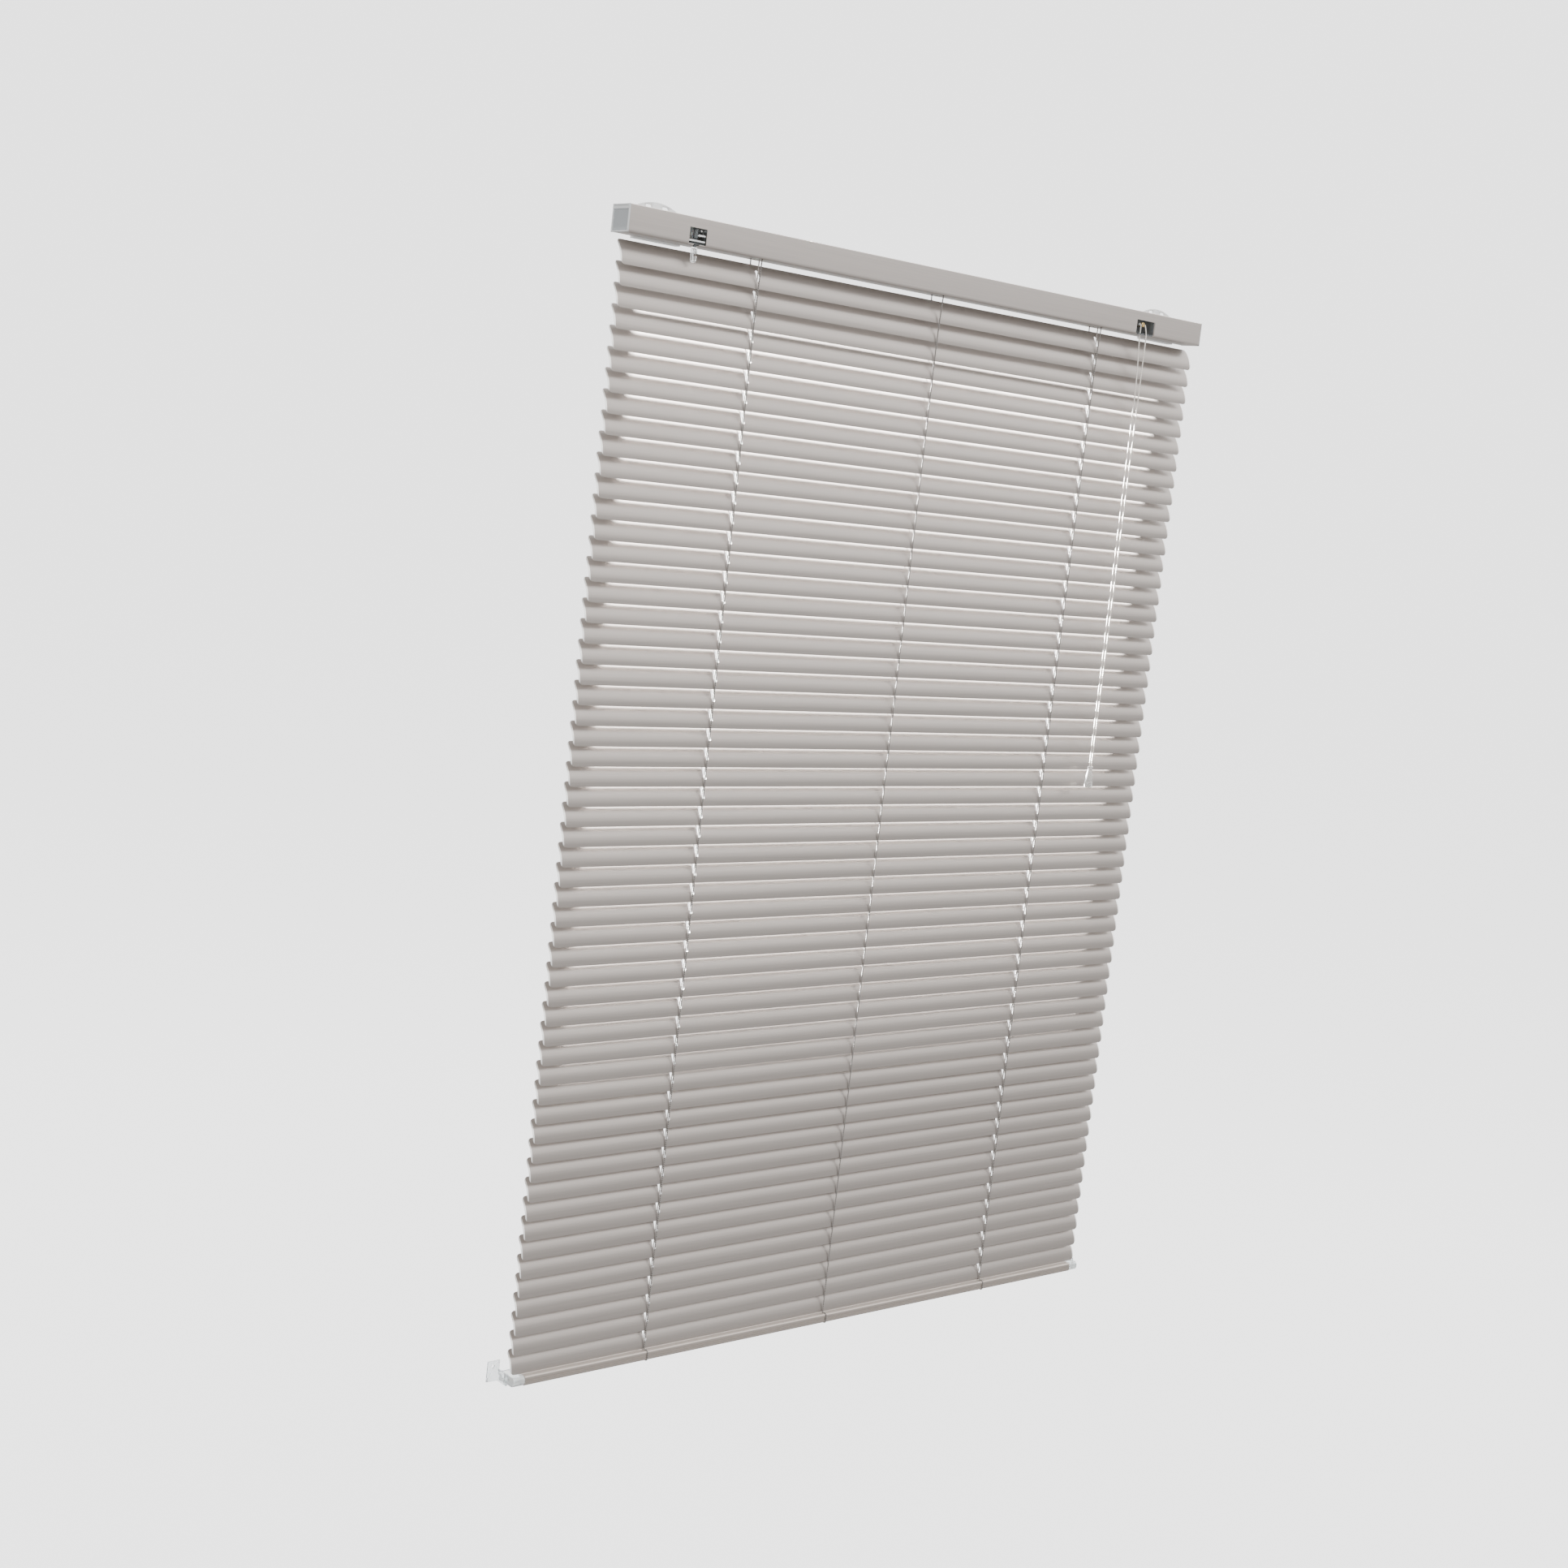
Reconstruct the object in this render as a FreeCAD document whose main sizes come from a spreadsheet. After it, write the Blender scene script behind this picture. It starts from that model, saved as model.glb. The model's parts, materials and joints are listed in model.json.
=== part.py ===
"""Venetian blind with narrow curved metal slats, drawn as a FreeCAD document and written to parts/*.step.

Frame: X runs along the slats, +Y points into the window and +Z up. The origin is the centre of the
headrail's back face. Millimetres.
"""

import FreeCAD, Part
import math
import os
import re

SIZES = (
    ("rail_length", 800.0, "headrail, end to end"),
    ("rail_depth", 26.0, "headrail, front to back"),
    ("rail_height", 25.0, "headrail, bottom to top"),
    ("rail_wall", 0.6, "sheet steel of the headrail"),
    ("rail_lip", 2.2, "inward lips along the headrail's open top"),
    ("rail_corner", 2.5, "outer radius of the headrail's lower corners"),
    ("cap_wall", 1.2, "plate of a headrail end cap"),
    ("cap_plug", 8.0, "how far an end cap reaches into its rail"),
    ("fit_gap", 0.3, "clearance between pieces that pass or seat"),
    ("slat_count", 56, "slats between headrail and bottom rail"),
    ("slats_per_bank", 7, "slats kept in one file"),
    ("slat_length", 800.0, "slat, end to end"),
    ("slat_width", 25.0, "slat, across its chord"),
    ("slat_crown", 2.6, "rise of the slat's curve above its chord"),
    ("slat_thick", 0.25, "slat sheet"),
    ("slat_corner", 5.2, "rounding of the slat's four corners"),
    ("slat_pitch", 19.05, "height from one slat to the next"),
    ("slat_tilt", 64.0, "degrees from level, room-side edge down"),
    ("first_drop", 28.9, "height from the origin down to the first slat's middle"),
    ("rout_length", 12.0, "cord slot in a slat, across the slat"),
    ("rout_width", 3.6, "cord slot in a slat, along the slat"),
    ("ladder_spacing", 240.0, "distance between ladders"),
    ("ladder_reach", 6.6, "from the middle of the blind out to a ladder string"),
    ("ladder_play", 2.0, "room in front of and behind the strings where they leave the rail"),
    ("ladder_slot", 10.8, "way out for a ladder, along the rail"),
    ("string_radius", 0.5, "ladder string"),
    ("rung_radius", 0.3, "ladder rung"),
    ("cord_radius", 0.6, "lift and pull cords"),
    ("cord_aside", 1.6, "lift cord beside the ladder's rungs, along X"),
    ("cord_forward", 2.3, "lift cord in front of the blind's middle plane"),
    ("rod_radius", 3.0, "corner radius of the hexagonal tilt rod"),
    ("rod_left", 337.0, "tilt rod's reach to the left"),
    ("rod_right", 262.0, "tilt rod's reach to the right"),
    ("drum_radius", 5.8, "ladder drum between its flanges"),
    ("drum_flange", 7.2, "ladder drum's flanges"),
    ("drum_length", 12.0, "ladder drum between its flanges, along the rod"),
    ("flange_wall", 1.0, "thickness of a drum's flange"),
    ("cradle_wall", 1.2, "plastic of a ladder cradle"),
    ("cradle_depth", 20.0, "cradle, front to back"),
    ("cradle_top", 5.0, "top of the cradle's cheeks above the rod's axis"),
    ("tilter_place", 321.5, "tilter's middle, left of the origin"),
    ("tilter_width", 26.0, "tilter housing, along the rail"),
    ("tilter_window", 20.0, "tilter's opening in the headrail's front"),
    ("window_top", 3.0, "top of both openings in the headrail's front"),
    ("housing_top", 8.0, "top of the tilter and cord lock housings"),
    ("housing_wall", 1.2, "wall of the tilter and cord lock housings"),
    ("tilter_depth", 7.9, "tilter housing, from the rod's axis to its back"),
    ("gear_radius", 6.2, "tilter's gear on the rod"),
    ("gear_width", 6.0, "tilter's gear, along the rod"),
    ("gear_teeth", 14, "teeth of the tilter's gear"),
    ("tooth_notch", 0.7, "radius of the gaps between the gear's teeth"),
    ("worm_radius", 2.2, "tilter's worm"),
    ("worm_reach", 6.0, "worm's half length"),
    ("shaft_radius", 1.6, "worm's shaft, down through the rail"),
    ("hook_top", 14.0, "from the rod's axis down to the hook's shoulder"),
    ("hook_length", 14.0, "wand hook below its shoulder"),
    ("hook_width", 5.6, "wand hook, across"),
    ("hook_thick", 3.0, "wand hook, front to back"),
    ("hook_wire", 1.7, "limbs of the wand hook"),
    ("lock_place", 307.0, "cord lock's middle, right of the origin"),
    ("lock_width", 30.0, "cord lock's housing and its opening"),
    ("lock_depth", 17.0, "cord lock's housing, front to back"),
    ("lip_width", 24.0, "lip below the cord lock's opening"),
    ("roller_radius", 2.6, "cord lock's brass roller"),
    ("roller_aside", 2.8, "roller's axis, left of the lock's middle"),
    ("pin_radius", 1.6, "cord lock's sliding pin"),
    ("pin_aside", 8.9, "pin's axis, left of the lock's middle"),
    ("lock_axis_drop", 1.5, "roller's and pin's axes below the origin"),
    ("pull_length", 490.0, "pull cord that hangs out of the lock"),
    ("pull_forward", 24.2, "pull cords' top, in front of the rail's back"),
    ("tassel_forward", 30.6, "tassel, in front of the rail's back"),
    ("pull_left", 6.4, "left pull cord, left of the lock's middle at the top"),
    ("pull_right", 0.5, "right pull cord, right of the lock's middle at the top"),
    ("tassel_radius", 4.5, "tassel at its foot"),
    ("tassel_neck", 3.2, "tassel at its top"),
    ("tassel_length", 24.0, "tassel, top to foot"),
    ("bracket_place", 352.0, "bracket's middle, from the origin"),
    ("bracket_width", 52.0, "bracket, along the rail"),
    ("bracket_wall", 1.6, "sheet of a bracket"),
    ("bracket_rise", 9.0, "top of the bracket's dome above the headrail"),
    ("bracket_dome", 53.0, "radius of the bracket's domed top"),
    ("bracket_ledge", 6.0, "lower ledge of a bracket, under the headrail"),
    ("bracket_hook", 16.0, "width of the bracket's upper hook"),
    ("screw_spacing", 19.0, "between the screw slots of a bracket"),
    ("screw_rise", 4.7, "screw slots above the headrail's top"),
    ("screw_radius", 1.5, "half width of a screw slot"),
    ("screw_slot", 7.0, "screw slot, end to end"),
    ("foot_depth", 25.0, "bottom rail, front to back"),
    ("foot_height", 9.4, "bottom rail, bottom to top"),
    ("foot_wall", 0.8, "sheet of the bottom rail"),
    ("foot_corner", 3.5, "rounding along the bottom rail"),
    ("foot_gap", 11.8, "last slat's middle down to the bottom rail's top"),
    ("foot_cap", 13.0, "length of a bottom rail end cap outside the rail"),
    ("foot_pin_radius", 1.4, "pin on a bottom rail end cap"),
    ("foot_pin_length", 5.0, "pin on a bottom rail end cap"),
    ("button_radius", 5.0, "ladder button under the bottom rail"),
    ("button_height", 1.6, "ladder button under the bottom rail"),
    ("button_stem", 2.5, "radius of a ladder button's stem"),
    ("hold_wall", 1.6, "hold-down bracket's plates"),
    ("hold_width", 13.5, "hold-down bracket's back plate, along the rail"),
    ("hold_depth", 17.0, "hold-down bracket's cheek, front to back"),
    ("hold_above", 10.4, "hold-down bracket's back plate above the bottom rail's top"),
    ("hold_cheek", 1.5, "hold-down bracket's cheek above the bottom rail's top"),
    ("hold_below", 0.5, "hold-down bracket below the bottom rail's foot"),
    ("hold_screw", 1.8, "screw hole of a hold-down bracket"),
)

doc = FreeCAD.newDocument("VenetianBlind")
sheet = doc.addObject("Spreadsheet::Sheet", "Size")
for line, (alias, value, note) in enumerate(SIZES, start=1):
    sheet.set(f"A{line}", note)
    sheet.set(f"B{line}", str(value))
    sheet.setAlias(f"B{line}", alias)
doc.recompute()

ALIASES = {alias for alias, _, _ in SIZES}
DIRECTIONS = {"x": FreeCAD.Vector(1, 0, 0), "y": FreeCAD.Vector(0, 1, 0), "z": FreeCAD.Vector(0, 0, 1)}
OVERSHOOT = 1.0
MIDDLE = "(-rail_depth / 2)"
FLOOR = "(-rail_height / 2 + rail_wall)"
LADDER_ROOM = "2 * (ladder_reach + ladder_play)"
LAST_SLAT = "(-first_drop - (slat_count - 1) * slat_pitch)"
FOOT_TOP = f"({LAST_SLAT} - foot_gap)"
FOOT_MIDDLE = f"({FOOT_TOP} - foot_height / 2)"
LADDERS = {"left": "(-ladder_spacing)", "middle": "(0)", "right": "(ladder_spacing)"}
SIDES = {"left": -1, "right": 1}
subparts = {}


def size(alias):
    """A driving dimension's number, from the sheet."""
    return float(sheet.get(alias))


def formula(text):
    """An expression of the sheet's aliases, as FreeCAD reads it."""
    return re.sub(r"[a-z_]+", lambda word: f"Size.{word[0]}" if word[0] in ALIASES else word[0], text)


def number(text):
    """The value that a formula has now."""
    return float(doc.Size.evalExpression(formula(text)))


def box(x, y, z):
    """A block. Each direction is (start, length), as formulas."""
    block = doc.addObject("Part::Box", "Block")
    for side, way, (start, length) in zip(("Length", "Width", "Height"), "xyz", (x, y, z)):
        block.setExpression(side, formula(length))
        block.setExpression(f"Placement.Base.{way}", formula(start))
    return block


def centred(middle, length):
    """The (start, length) of a stretch about its middle."""
    return f"{middle} - ({length}) / 2", length


def aim(part, way, start):
    """Turn a primitive that is made along Z to run along x, y or z from a start point."""
    part.Placement = FreeCAD.Placement(
        FreeCAD.Vector(), FreeCAD.Rotation(DIRECTIONS["z"], DIRECTIONS[way])
    )
    for axis, text in zip("xyz", start):
        part.setExpression(f"Placement.Base.{axis}", formula(text))
    return part


def cylinder(way, start, radius, length):
    """A round bar from a start point along x, y or z."""
    bar = doc.addObject("Part::Cylinder", "Bar")
    bar.setExpression("Radius", formula(radius))
    bar.setExpression("Height", formula(length))
    return aim(bar, way, start)


def hexagon(start, radius, length):
    """A hexagonal bar along X, its size measured to the corners."""
    bar = doc.addObject("Part::Prism", "Hexagon")
    bar.Polygon = 6
    bar.setExpression("Circumradius", formula(radius))
    bar.setExpression("Height", formula(length))
    return aim(bar, "x", start)


def cut(base, *tools):
    """The base with each tool taken away in turn."""
    for tool in tools:
        piece = doc.addObject("Part::Cut", "Cut")
        piece.Base = base
        piece.Tool = tool
        base = piece
    return base


def join(*pieces):
    """Pieces that touch or overlap, as one solid."""
    whole = doc.addObject("Part::MultiFuse", "Fuse")
    whole.Shapes = list(pieces)
    whole.Refine = True
    return whole


def common(*pieces):
    """The space that all the pieces share."""
    shared = doc.addObject("Part::MultiCommon", "Common")
    shared.Shapes = list(pieces)
    return shared


def rounded(base, radius, wanted):
    """The base with a fillet on each edge whose middle the test accepts."""
    doc.recompute()
    numbers = [
        place
        for place, edge in enumerate(base.Shape.Edges, start=1)
        if wanted(edge.CenterOfMass, edge)
    ]
    soft = doc.addObject("Part::Fillet", "Rounded")
    soft.Base = base
    soft.Edges = [(place, radius, radius) for place in numbers]
    return soft


def subpart(label, piece):
    """Name a finished piece. The label is also its file's name."""
    piece.Label = label
    subparts[label] = piece
    return piece


def shaped(label, shape):
    """A sub-part whose shape is worked out here, from the sheet's numbers."""
    piece = doc.addObject("Part::Feature", "Shaped")
    piece.Shape = shape
    piece.Placement = FreeCAD.Placement()
    return subpart(label, piece)


def along_x(edge):
    """Whether a straight edge runs along the blind."""
    return abs(edge.tangentAt(edge.FirstParameter).x) > 0.99


def lower_front(middle, edge):
    """Whether an edge of a housing lies in the channel's rounded lower front corner."""
    return along_x(edge) and middle.z < 0 and middle.y < -size("rail_depth") / 2


def make_headrail():
    """A steel channel, open at the top, with openings for the tilter, the cord lock and the ladders."""
    def lower(middle, edge):
        return along_x(edge) and middle.z < 0

    outer = box(
        centred("0", "rail_length"), ("-rail_depth", "rail_depth"), centred("0", "rail_height")
    )
    inner = box(
        centred("0", f"rail_length + {2 * OVERSHOOT}"),
        ("-rail_depth + rail_wall", "rail_depth - 2 * rail_wall"),
        (FLOOR, "rail_height"),
    )
    corner = size("rail_corner")
    channel = cut(
        rounded(outer, corner, lower),
        rounded(inner, corner - size("rail_wall"), lower),
    )
    lips = [
        box(centred("0", "rail_length"), (start, "rail_lip"), ("rail_height / 2 - rail_wall", "rail_wall"))
        for start in ("-rail_depth", "-rail_lip")
    ]
    openings = []
    cord_exit = "rail_depth - pull_forward + 4 * cord_radius"
    for middle, width, floor_width, floor_depth in (
        ("(-tilter_place)", "tilter_window", "4 * shaft_radius", "rail_depth / 2 - gear_radius"),
        ("lock_place", "lock_width", "lip_width + 2 * fit_gap", cord_exit),
    ):
        low = f"-rail_height / 2 - {OVERSHOOT}"
        front = f"-rail_depth - {OVERSHOOT}"
        openings.append(
            box(
                centred(middle, width),
                (front, f"{OVERSHOOT} + 2 * rail_wall"),
                (low, f"window_top + rail_height / 2 + {OVERSHOOT}"),
            )
        )
        openings.append(
            box(
                centred(middle, floor_width),
                (front, f"{OVERSHOOT} + {floor_depth}"),
                (low, f"{OVERSHOOT} + rail_corner"),
            )
        )
    for place in LADDERS.values():
        openings.append(
            box(
                centred(place, "ladder_slot"),
                centred(MIDDLE, LADDER_ROOM),
                (f"-rail_height / 2 - {OVERSHOOT}", f"2 * {OVERSHOOT} + rail_wall"),
            )
        )
    subpart("headrail", cut(join(channel, *lips), *openings))


def make_end_cap(side, way):
    """A clear cap: a plate over the channel's end and a hollow plug inside it."""
    end = f"({way} * rail_length / 2)"
    outward = f"{end} + ({way} - 1) / 2 * cap_wall"
    inward = f"{end} - ({way} + 1) / 2 * cap_plug"
    plate = box(
        (outward, "cap_wall"), ("-rail_depth", "rail_depth"), centred("0", "rail_height")
    )
    inside = "(rail_wall + fit_gap)"
    wall = f"({inside} + cap_wall)"
    plug = box(
        (inward, "cap_plug"),
        (f"-rail_depth + {inside}", f"rail_depth - 2 * {inside}"),
        ("-rail_height / 2 + rail_corner", "rail_height - rail_corner - rail_wall - fit_gap"),
    )
    hollow = box(
        (inward, "cap_plug"),
        (f"-rail_depth + {wall}", f"rail_depth - 2 * {wall}"),
        ("-rail_height / 2 + rail_corner + cap_wall", "rail_height"),
    )
    subpart(f"headrail_end_cap_{side}", join(plate, cut(plug, hollow)))


def make_bracket(side, way):
    """A sheet bracket behind the headrail: domed top with two screw slots, lower ledge, upper hook."""
    place = f"({way} * bracket_place)"
    top = "(rail_height / 2)"
    width = centred(place, "bracket_width")
    wall = ("0", "bracket_wall")
    sheet_part = box(
        width,
        wall,
        (f"-{top} - bracket_wall", f"2 * {top} + bracket_wall + bracket_rise"),
    )
    dome = cylinder(
        "y", (place, "0", f"{top} + bracket_rise - bracket_dome"), "bracket_dome", "bracket_wall"
    )
    ledge = box(
        width, ("-bracket_ledge", "bracket_ledge + bracket_wall"), (f"-{top} - bracket_wall", "bracket_wall")
    )
    over = "(2 * rail_lip)"
    hook_width = centred(place, "bracket_hook")
    hook = box(hook_width, (f"-{over}", f"{over} + bracket_wall"), (top, "bracket_wall"))
    finger = box(hook_width, (f"-{over}", "rail_lip / 2"), (f"{top} - 3 * rail_wall", "3 * rail_wall"))
    slots = []
    for hand in (-1, 1):
        middle = f"({place} + {hand} * screw_spacing / 2)"
        flat = "(screw_slot - 2 * screw_radius)"
        height = f"({top} + screw_rise)"
        slots.append(box(centred(middle, flat), wall, centred(height, "2 * screw_radius")))
        for tip in (-1, 1):
            start = (f"{middle} + {tip} * {flat} / 2", "0", height)
            slots.append(cylinder("y", start, "screw_radius", "bracket_wall"))
    plate = cut(common(sheet_part, dome), *slots)
    subpart(f"bracket_{side}", join(plate, ledge, hook, finger))


def make_tilt_rod():
    """The hexagonal rod, a drum at each ladder and the tilter's toothed gear."""
    axis = (MIDDLE, "0")
    subpart("tilt_rod", hexagon(("-rod_left", *axis), "rod_radius", "rod_left + rod_right"))
    bore = "rod_radius + fit_gap / 3"
    for side, place in LADDERS.items():
        barrel = cylinder("x", (f"{place} - drum_length / 2", *axis), "drum_radius", "drum_length")
        flanges = [
            cylinder("x", (start, *axis), "drum_flange", "flange_wall")
            for start in (f"{place} - drum_length / 2 - flange_wall", f"{place} + drum_length / 2")
        ]
        through = f"drum_length + {2 * OVERSHOOT} + 2 * flange_wall"
        hole = hexagon((f"{place} - ({through}) / 2", *axis), bore, through)
        subpart(f"ladder_drum_{side}", cut(join(barrel, *flanges), hole))
    start = "-tilter_place - gear_width / 2"
    blank = cylinder("x", (start, *axis), "gear_radius", "gear_width")
    hole = hexagon((start, *axis), bore, "gear_width")
    notches = []
    for tooth in range(int(size("gear_teeth"))):
        turn = 2 * math.pi * tooth / size("gear_teeth")
        notches.append(
            cylinder(
                "x",
                (
                    start,
                    f"{MIDDLE} + gear_radius * {math.cos(turn):.6f}",
                    f"gear_radius * {math.sin(turn):.6f}",
                ),
                "tooth_notch",
                "gear_width",
            )
        )
    subpart("tilt_gear", cut(blank, hole, *notches))


def make_cradle(side, place):
    """A cradle on the channel's floor: two cheeks that carry the rod on each side of a drum."""
    inside = "(drum_length / 2 + flange_wall + fit_gap)"
    reach = f"({inside} + cradle_wall)"
    base = box(
        centred(place, f"2 * {reach}"), centred(MIDDLE, "cradle_depth"), (FLOOR, "cradle_wall")
    )
    cheeks = [
        box(
            (f"{place} {start}", "cradle_wall"),
            centred(MIDDLE, "cradle_depth"),
            (FLOOR, f"cradle_top - {FLOOR}"),
        )
        for start in (f"- {reach}", f"+ {inside}")
    ]
    bore = cylinder(
        "x", (f"{place} - {reach}", MIDDLE, "0"), "rod_radius + fit_gap", f"2 * {reach}"
    )
    cord_gap = box(
        centred(place, f"2 * {reach}"),
        centred(f"{MIDDLE} - cord_forward", "4 * cord_radius + 2 * fit_gap"),
        (f"{FLOOR} + cradle_wall", f"-drum_radius - {FLOOR} - cradle_wall"),
    )
    drop = box(
        centred(place, "ladder_slot"),
        centred(MIDDLE, LADDER_ROOM),
        (FLOOR, "cradle_wall"),
    )
    subpart(f"ladder_cradle_{side}", cut(join(base, *cheeks), bore, cord_gap, drop))


def make_tilter():
    """The tilter: a clear housing open at the front, and the worm whose shaft ends in the wand's hook."""
    middle = "(-tilter_place)"
    front = "(-rail_depth + rail_wall + fit_gap)"
    depth = f"({MIDDLE} + tilter_depth - {front})"
    inside = "(tilter_width - 2 * housing_wall)"
    outer = box(
        centred(middle, "tilter_width"), (front, depth), (FLOOR, f"housing_top - {FLOOR}")
    )
    cavity = box(
        centred(middle, inside),
        (front, f"{depth} - housing_wall"),
        (f"{FLOOR} + housing_wall", f"housing_top - {FLOOR} - 2 * housing_wall"),
    )
    bore = cylinder(
        "x", (f"{middle} - tilter_width / 2", MIDDLE, "0"), "rod_radius + fit_gap", "tilter_width"
    )
    worm_place = f"({MIDDLE} - gear_radius - worm_radius - fit_gap)"
    shaft_hole = cylinder(
        "z", (middle, worm_place, FLOOR), "shaft_radius + fit_gap", "housing_wall"
    )
    corner = size("rail_corner") - size("rail_wall")
    subpart(
        "tilter_housing", cut(rounded(outer, corner, lower_front), cavity, bore, shaft_hole)
    )
    worm = cylinder("z", (middle, worm_place, "-worm_reach"), "worm_radius", "2 * worm_reach")
    shaft = cylinder("z", (middle, worm_place, "-hook_top"), "shaft_radius", "hook_top")
    subpart("tilter_worm", join(worm, shaft))
    make_hook(middle, worm_place)


def make_hook(middle, depth):
    """A flat clear hook: a round-ended loop with a gap in one limb for the wand's eye."""
    low = "(-hook_top - hook_length + hook_width / 2)"
    depths = centred(depth, "hook_thick")
    hollow = "(hook_width - 2 * hook_wire)"
    tall = f"-hook_top - {low}"
    body = box(centred(middle, "hook_width"), depths, (low, tall))
    foot = cylinder("y", (middle, depths[0], low), "hook_width / 2", "hook_thick")
    slot = box(centred(middle, hollow), depths, (low, f"{tall} - hook_wire"))
    slot_foot = cylinder("y", (middle, depths[0], low), f"{hollow} / 2", "hook_thick")
    mouth = box((middle, "hook_width / 2"), depths, (f"{low} + 2 * hook_wire", "hook_wire"))
    subpart("wand_hook", cut(join(body, foot), slot, slot_foot, mouth))


def make_cord_lock():
    """The cord lock: a clear housing with a lip below its opening, a brass roller and a sliding pin."""
    front = "(-rail_depth + rail_wall + fit_gap)"
    outer = box(
        centred("lock_place", "lock_width - 2 * fit_gap"),
        (front, "lock_depth"),
        (FLOOR, f"housing_top - {FLOOR}"),
    )
    cavity = box(
        centred("lock_place", "lock_width - 2 * fit_gap - 2 * housing_wall"),
        (front, "lock_depth - housing_wall"),
        (f"{FLOOR} + housing_wall", f"housing_top - {FLOOR} - 2 * housing_wall"),
    )
    lip = box(
        centred("lock_place", "lip_width"),
        ("-rail_depth - rail_wall", f"rail_wall + rail_depth + {front} + housing_wall"),
        (f"{FLOOR} - rail_wall", "housing_wall"),
    )
    way_out = box(
        centred("lock_place - pull_left", "4 * cord_radius"),
        centred("(-pull_forward)", "4 * cord_radius"),
        (f"-rail_height / 2 - {OVERSHOOT}", f"3 * {OVERSHOOT} + rail_wall"),
    )
    way_in = box(
        ("lock_place - lock_width / 2", "2 * housing_wall"),
        centred(f"{MIDDLE} - cord_forward", "4 * cord_radius + 2 * fit_gap"),
        (f"{FLOOR} + housing_wall", f"-drum_radius - {FLOOR} - housing_wall"),
    )
    corner = size("rail_corner") - size("rail_wall")
    shell = cut(rounded(outer, corner, lower_front), cavity)
    subpart("cord_lock_housing", cut(join(shell, lip), way_out, way_in))
    start = f"({front} + fit_gap)"
    length = "lock_depth - housing_wall - 2 * fit_gap"
    for label, aside, radius in (
        ("cord_lock_roller", "roller_aside", "roller_radius"),
        ("cord_lock_pin", "pin_aside", "pin_radius"),
    ):
        centre = (f"lock_place - {aside}", start, "-lock_axis_drop")
        subpart(label, cylinder("y", centre, radius, length))


def make_tassel():
    """A bell-shaped tassel on the ends of the two pull cords."""
    bell = doc.addObject("Part::Cone", "Bell")
    bell.setExpression("Radius1", formula("tassel_radius"))
    bell.setExpression("Radius2", formula("tassel_neck"))
    bell.setExpression("Height", formula("tassel_length"))
    foot = "-pull_length - tassel_length - lock_axis_drop"
    middle = "lock_place - (pull_left - pull_right) / 2"
    subpart("tassel", aim(bell, "z", (middle, "-tassel_forward", foot)))


def straight_cord(start, end, radius):
    """A round cord between two points."""
    along = end - start
    return Part.makeCylinder(radius, along.Length, start, along)


def bent_cord(points, radius):
    """A round cord along straight runs joined by tangent arcs as large as the runs allow."""
    edges = []
    start = points[0]
    for before, corner, after in zip(points, points[1:], points[2:]):
        back = (before - corner).normalize()
        ahead = (after - corner).normalize()
        half_turn = (math.pi - back.getAngle(ahead)) / 2
        reach = 0.45 * min((before - corner).Length, (after - corner).Length)
        bend = reach / math.tan(half_turn)
        inward = (back + ahead).normalize()
        crest = corner + inward * (bend / math.cos(half_turn) - bend)
        begin = corner + back * reach
        finish = corner + ahead * reach
        print(f"cord bend radius {bend:.0f} mm")
        edges += [Part.makeLine(start, begin), Part.Arc(begin, crest, finish).toShape()]
        start = finish
    edges.append(Part.makeLine(start, points[-1]))
    ring = Part.Wire(Part.makeCircle(radius, points[0], points[1] - points[0]))
    return Part.Wire(edges).makePipeShell([ring], True, False)


def make_pull_cords():
    """Two free cords pulled straight by the tassel: the left leaves through the lock's floor, the
    right over its lip, and both clear the bottom rail on its way up."""
    radius = size("cord_radius")
    top = -size("lock_axis_drop")
    foot = top - size("pull_length")
    middle = number("lock_place - (pull_left - pull_right) / 2")
    together = size("tassel_neck") / 2
    depth = -size("pull_forward")
    routes = {
        "left": ((0.0, 0.0, top), (0.2, 0.0, -16.0), (0.5, -3.6, -62.0)),
        "right": ((0.0, 0.0, top), (0.1, -3.4, -10.5), (-0.2, -3.7, -62.0)),
    }
    for side, way in SIDES.items():
        x = number("lock_place - pull_left" if way < 0 else "lock_place + pull_right")
        points = [FreeCAD.Vector(x + right, depth + forward, z) for right, forward, z in routes[side]]
        points.append(FreeCAD.Vector(middle + way * together, -size("tassel_forward"), foot))
        shaped(f"pull_cord_{side}", bent_cord(points, radius))


def make_lift_cords():
    """The lift cords: one down through the slats at each outer ladder, and both along the headrail."""
    radius = size("cord_radius")
    y = number(f"{MIDDLE} - cord_forward")
    foot = number(f"{FOOT_TOP} - foot_wall")
    lock = number("lock_place - roller_aside - roller_radius - pin_radius - 4 * cord_radius")
    floor = number(f"{FLOOR} + cradle_wall")
    runs = []
    for side, rise in (("left", 3), ("right", 1)):
        x = number(f"{LADDERS[side]} + cord_aside")
        height = floor + rise * (radius + size("fit_gap") / 2)
        bend = 3 * radius
        corner = FreeCAD.Vector(x + bend * (1 - math.sqrt(0.5)), y, height - bend * (1 - math.sqrt(0.5)))
        below = FreeCAD.Vector(x, y, height - bend)
        beyond = FreeCAD.Vector(x + bend, y, height)
        path = Part.Wire(
            [
                Part.Arc(below, corner, beyond).toShape(),
                Part.makeLine(beyond, FreeCAD.Vector(lock, y, height)),
            ]
        )
        ring = Part.Wire(Part.makeCircle(radius, below, DIRECTIONS["z"]))
        runs.append(path.makePipeShell([ring], True, False))
        hanging = straight_cord(FreeCAD.Vector(x, y, foot), below, radius)
        shaped(f"lift_cord_{side}", hanging)
    shaped("headrail_cords", Part.makeCompound(runs))


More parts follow.
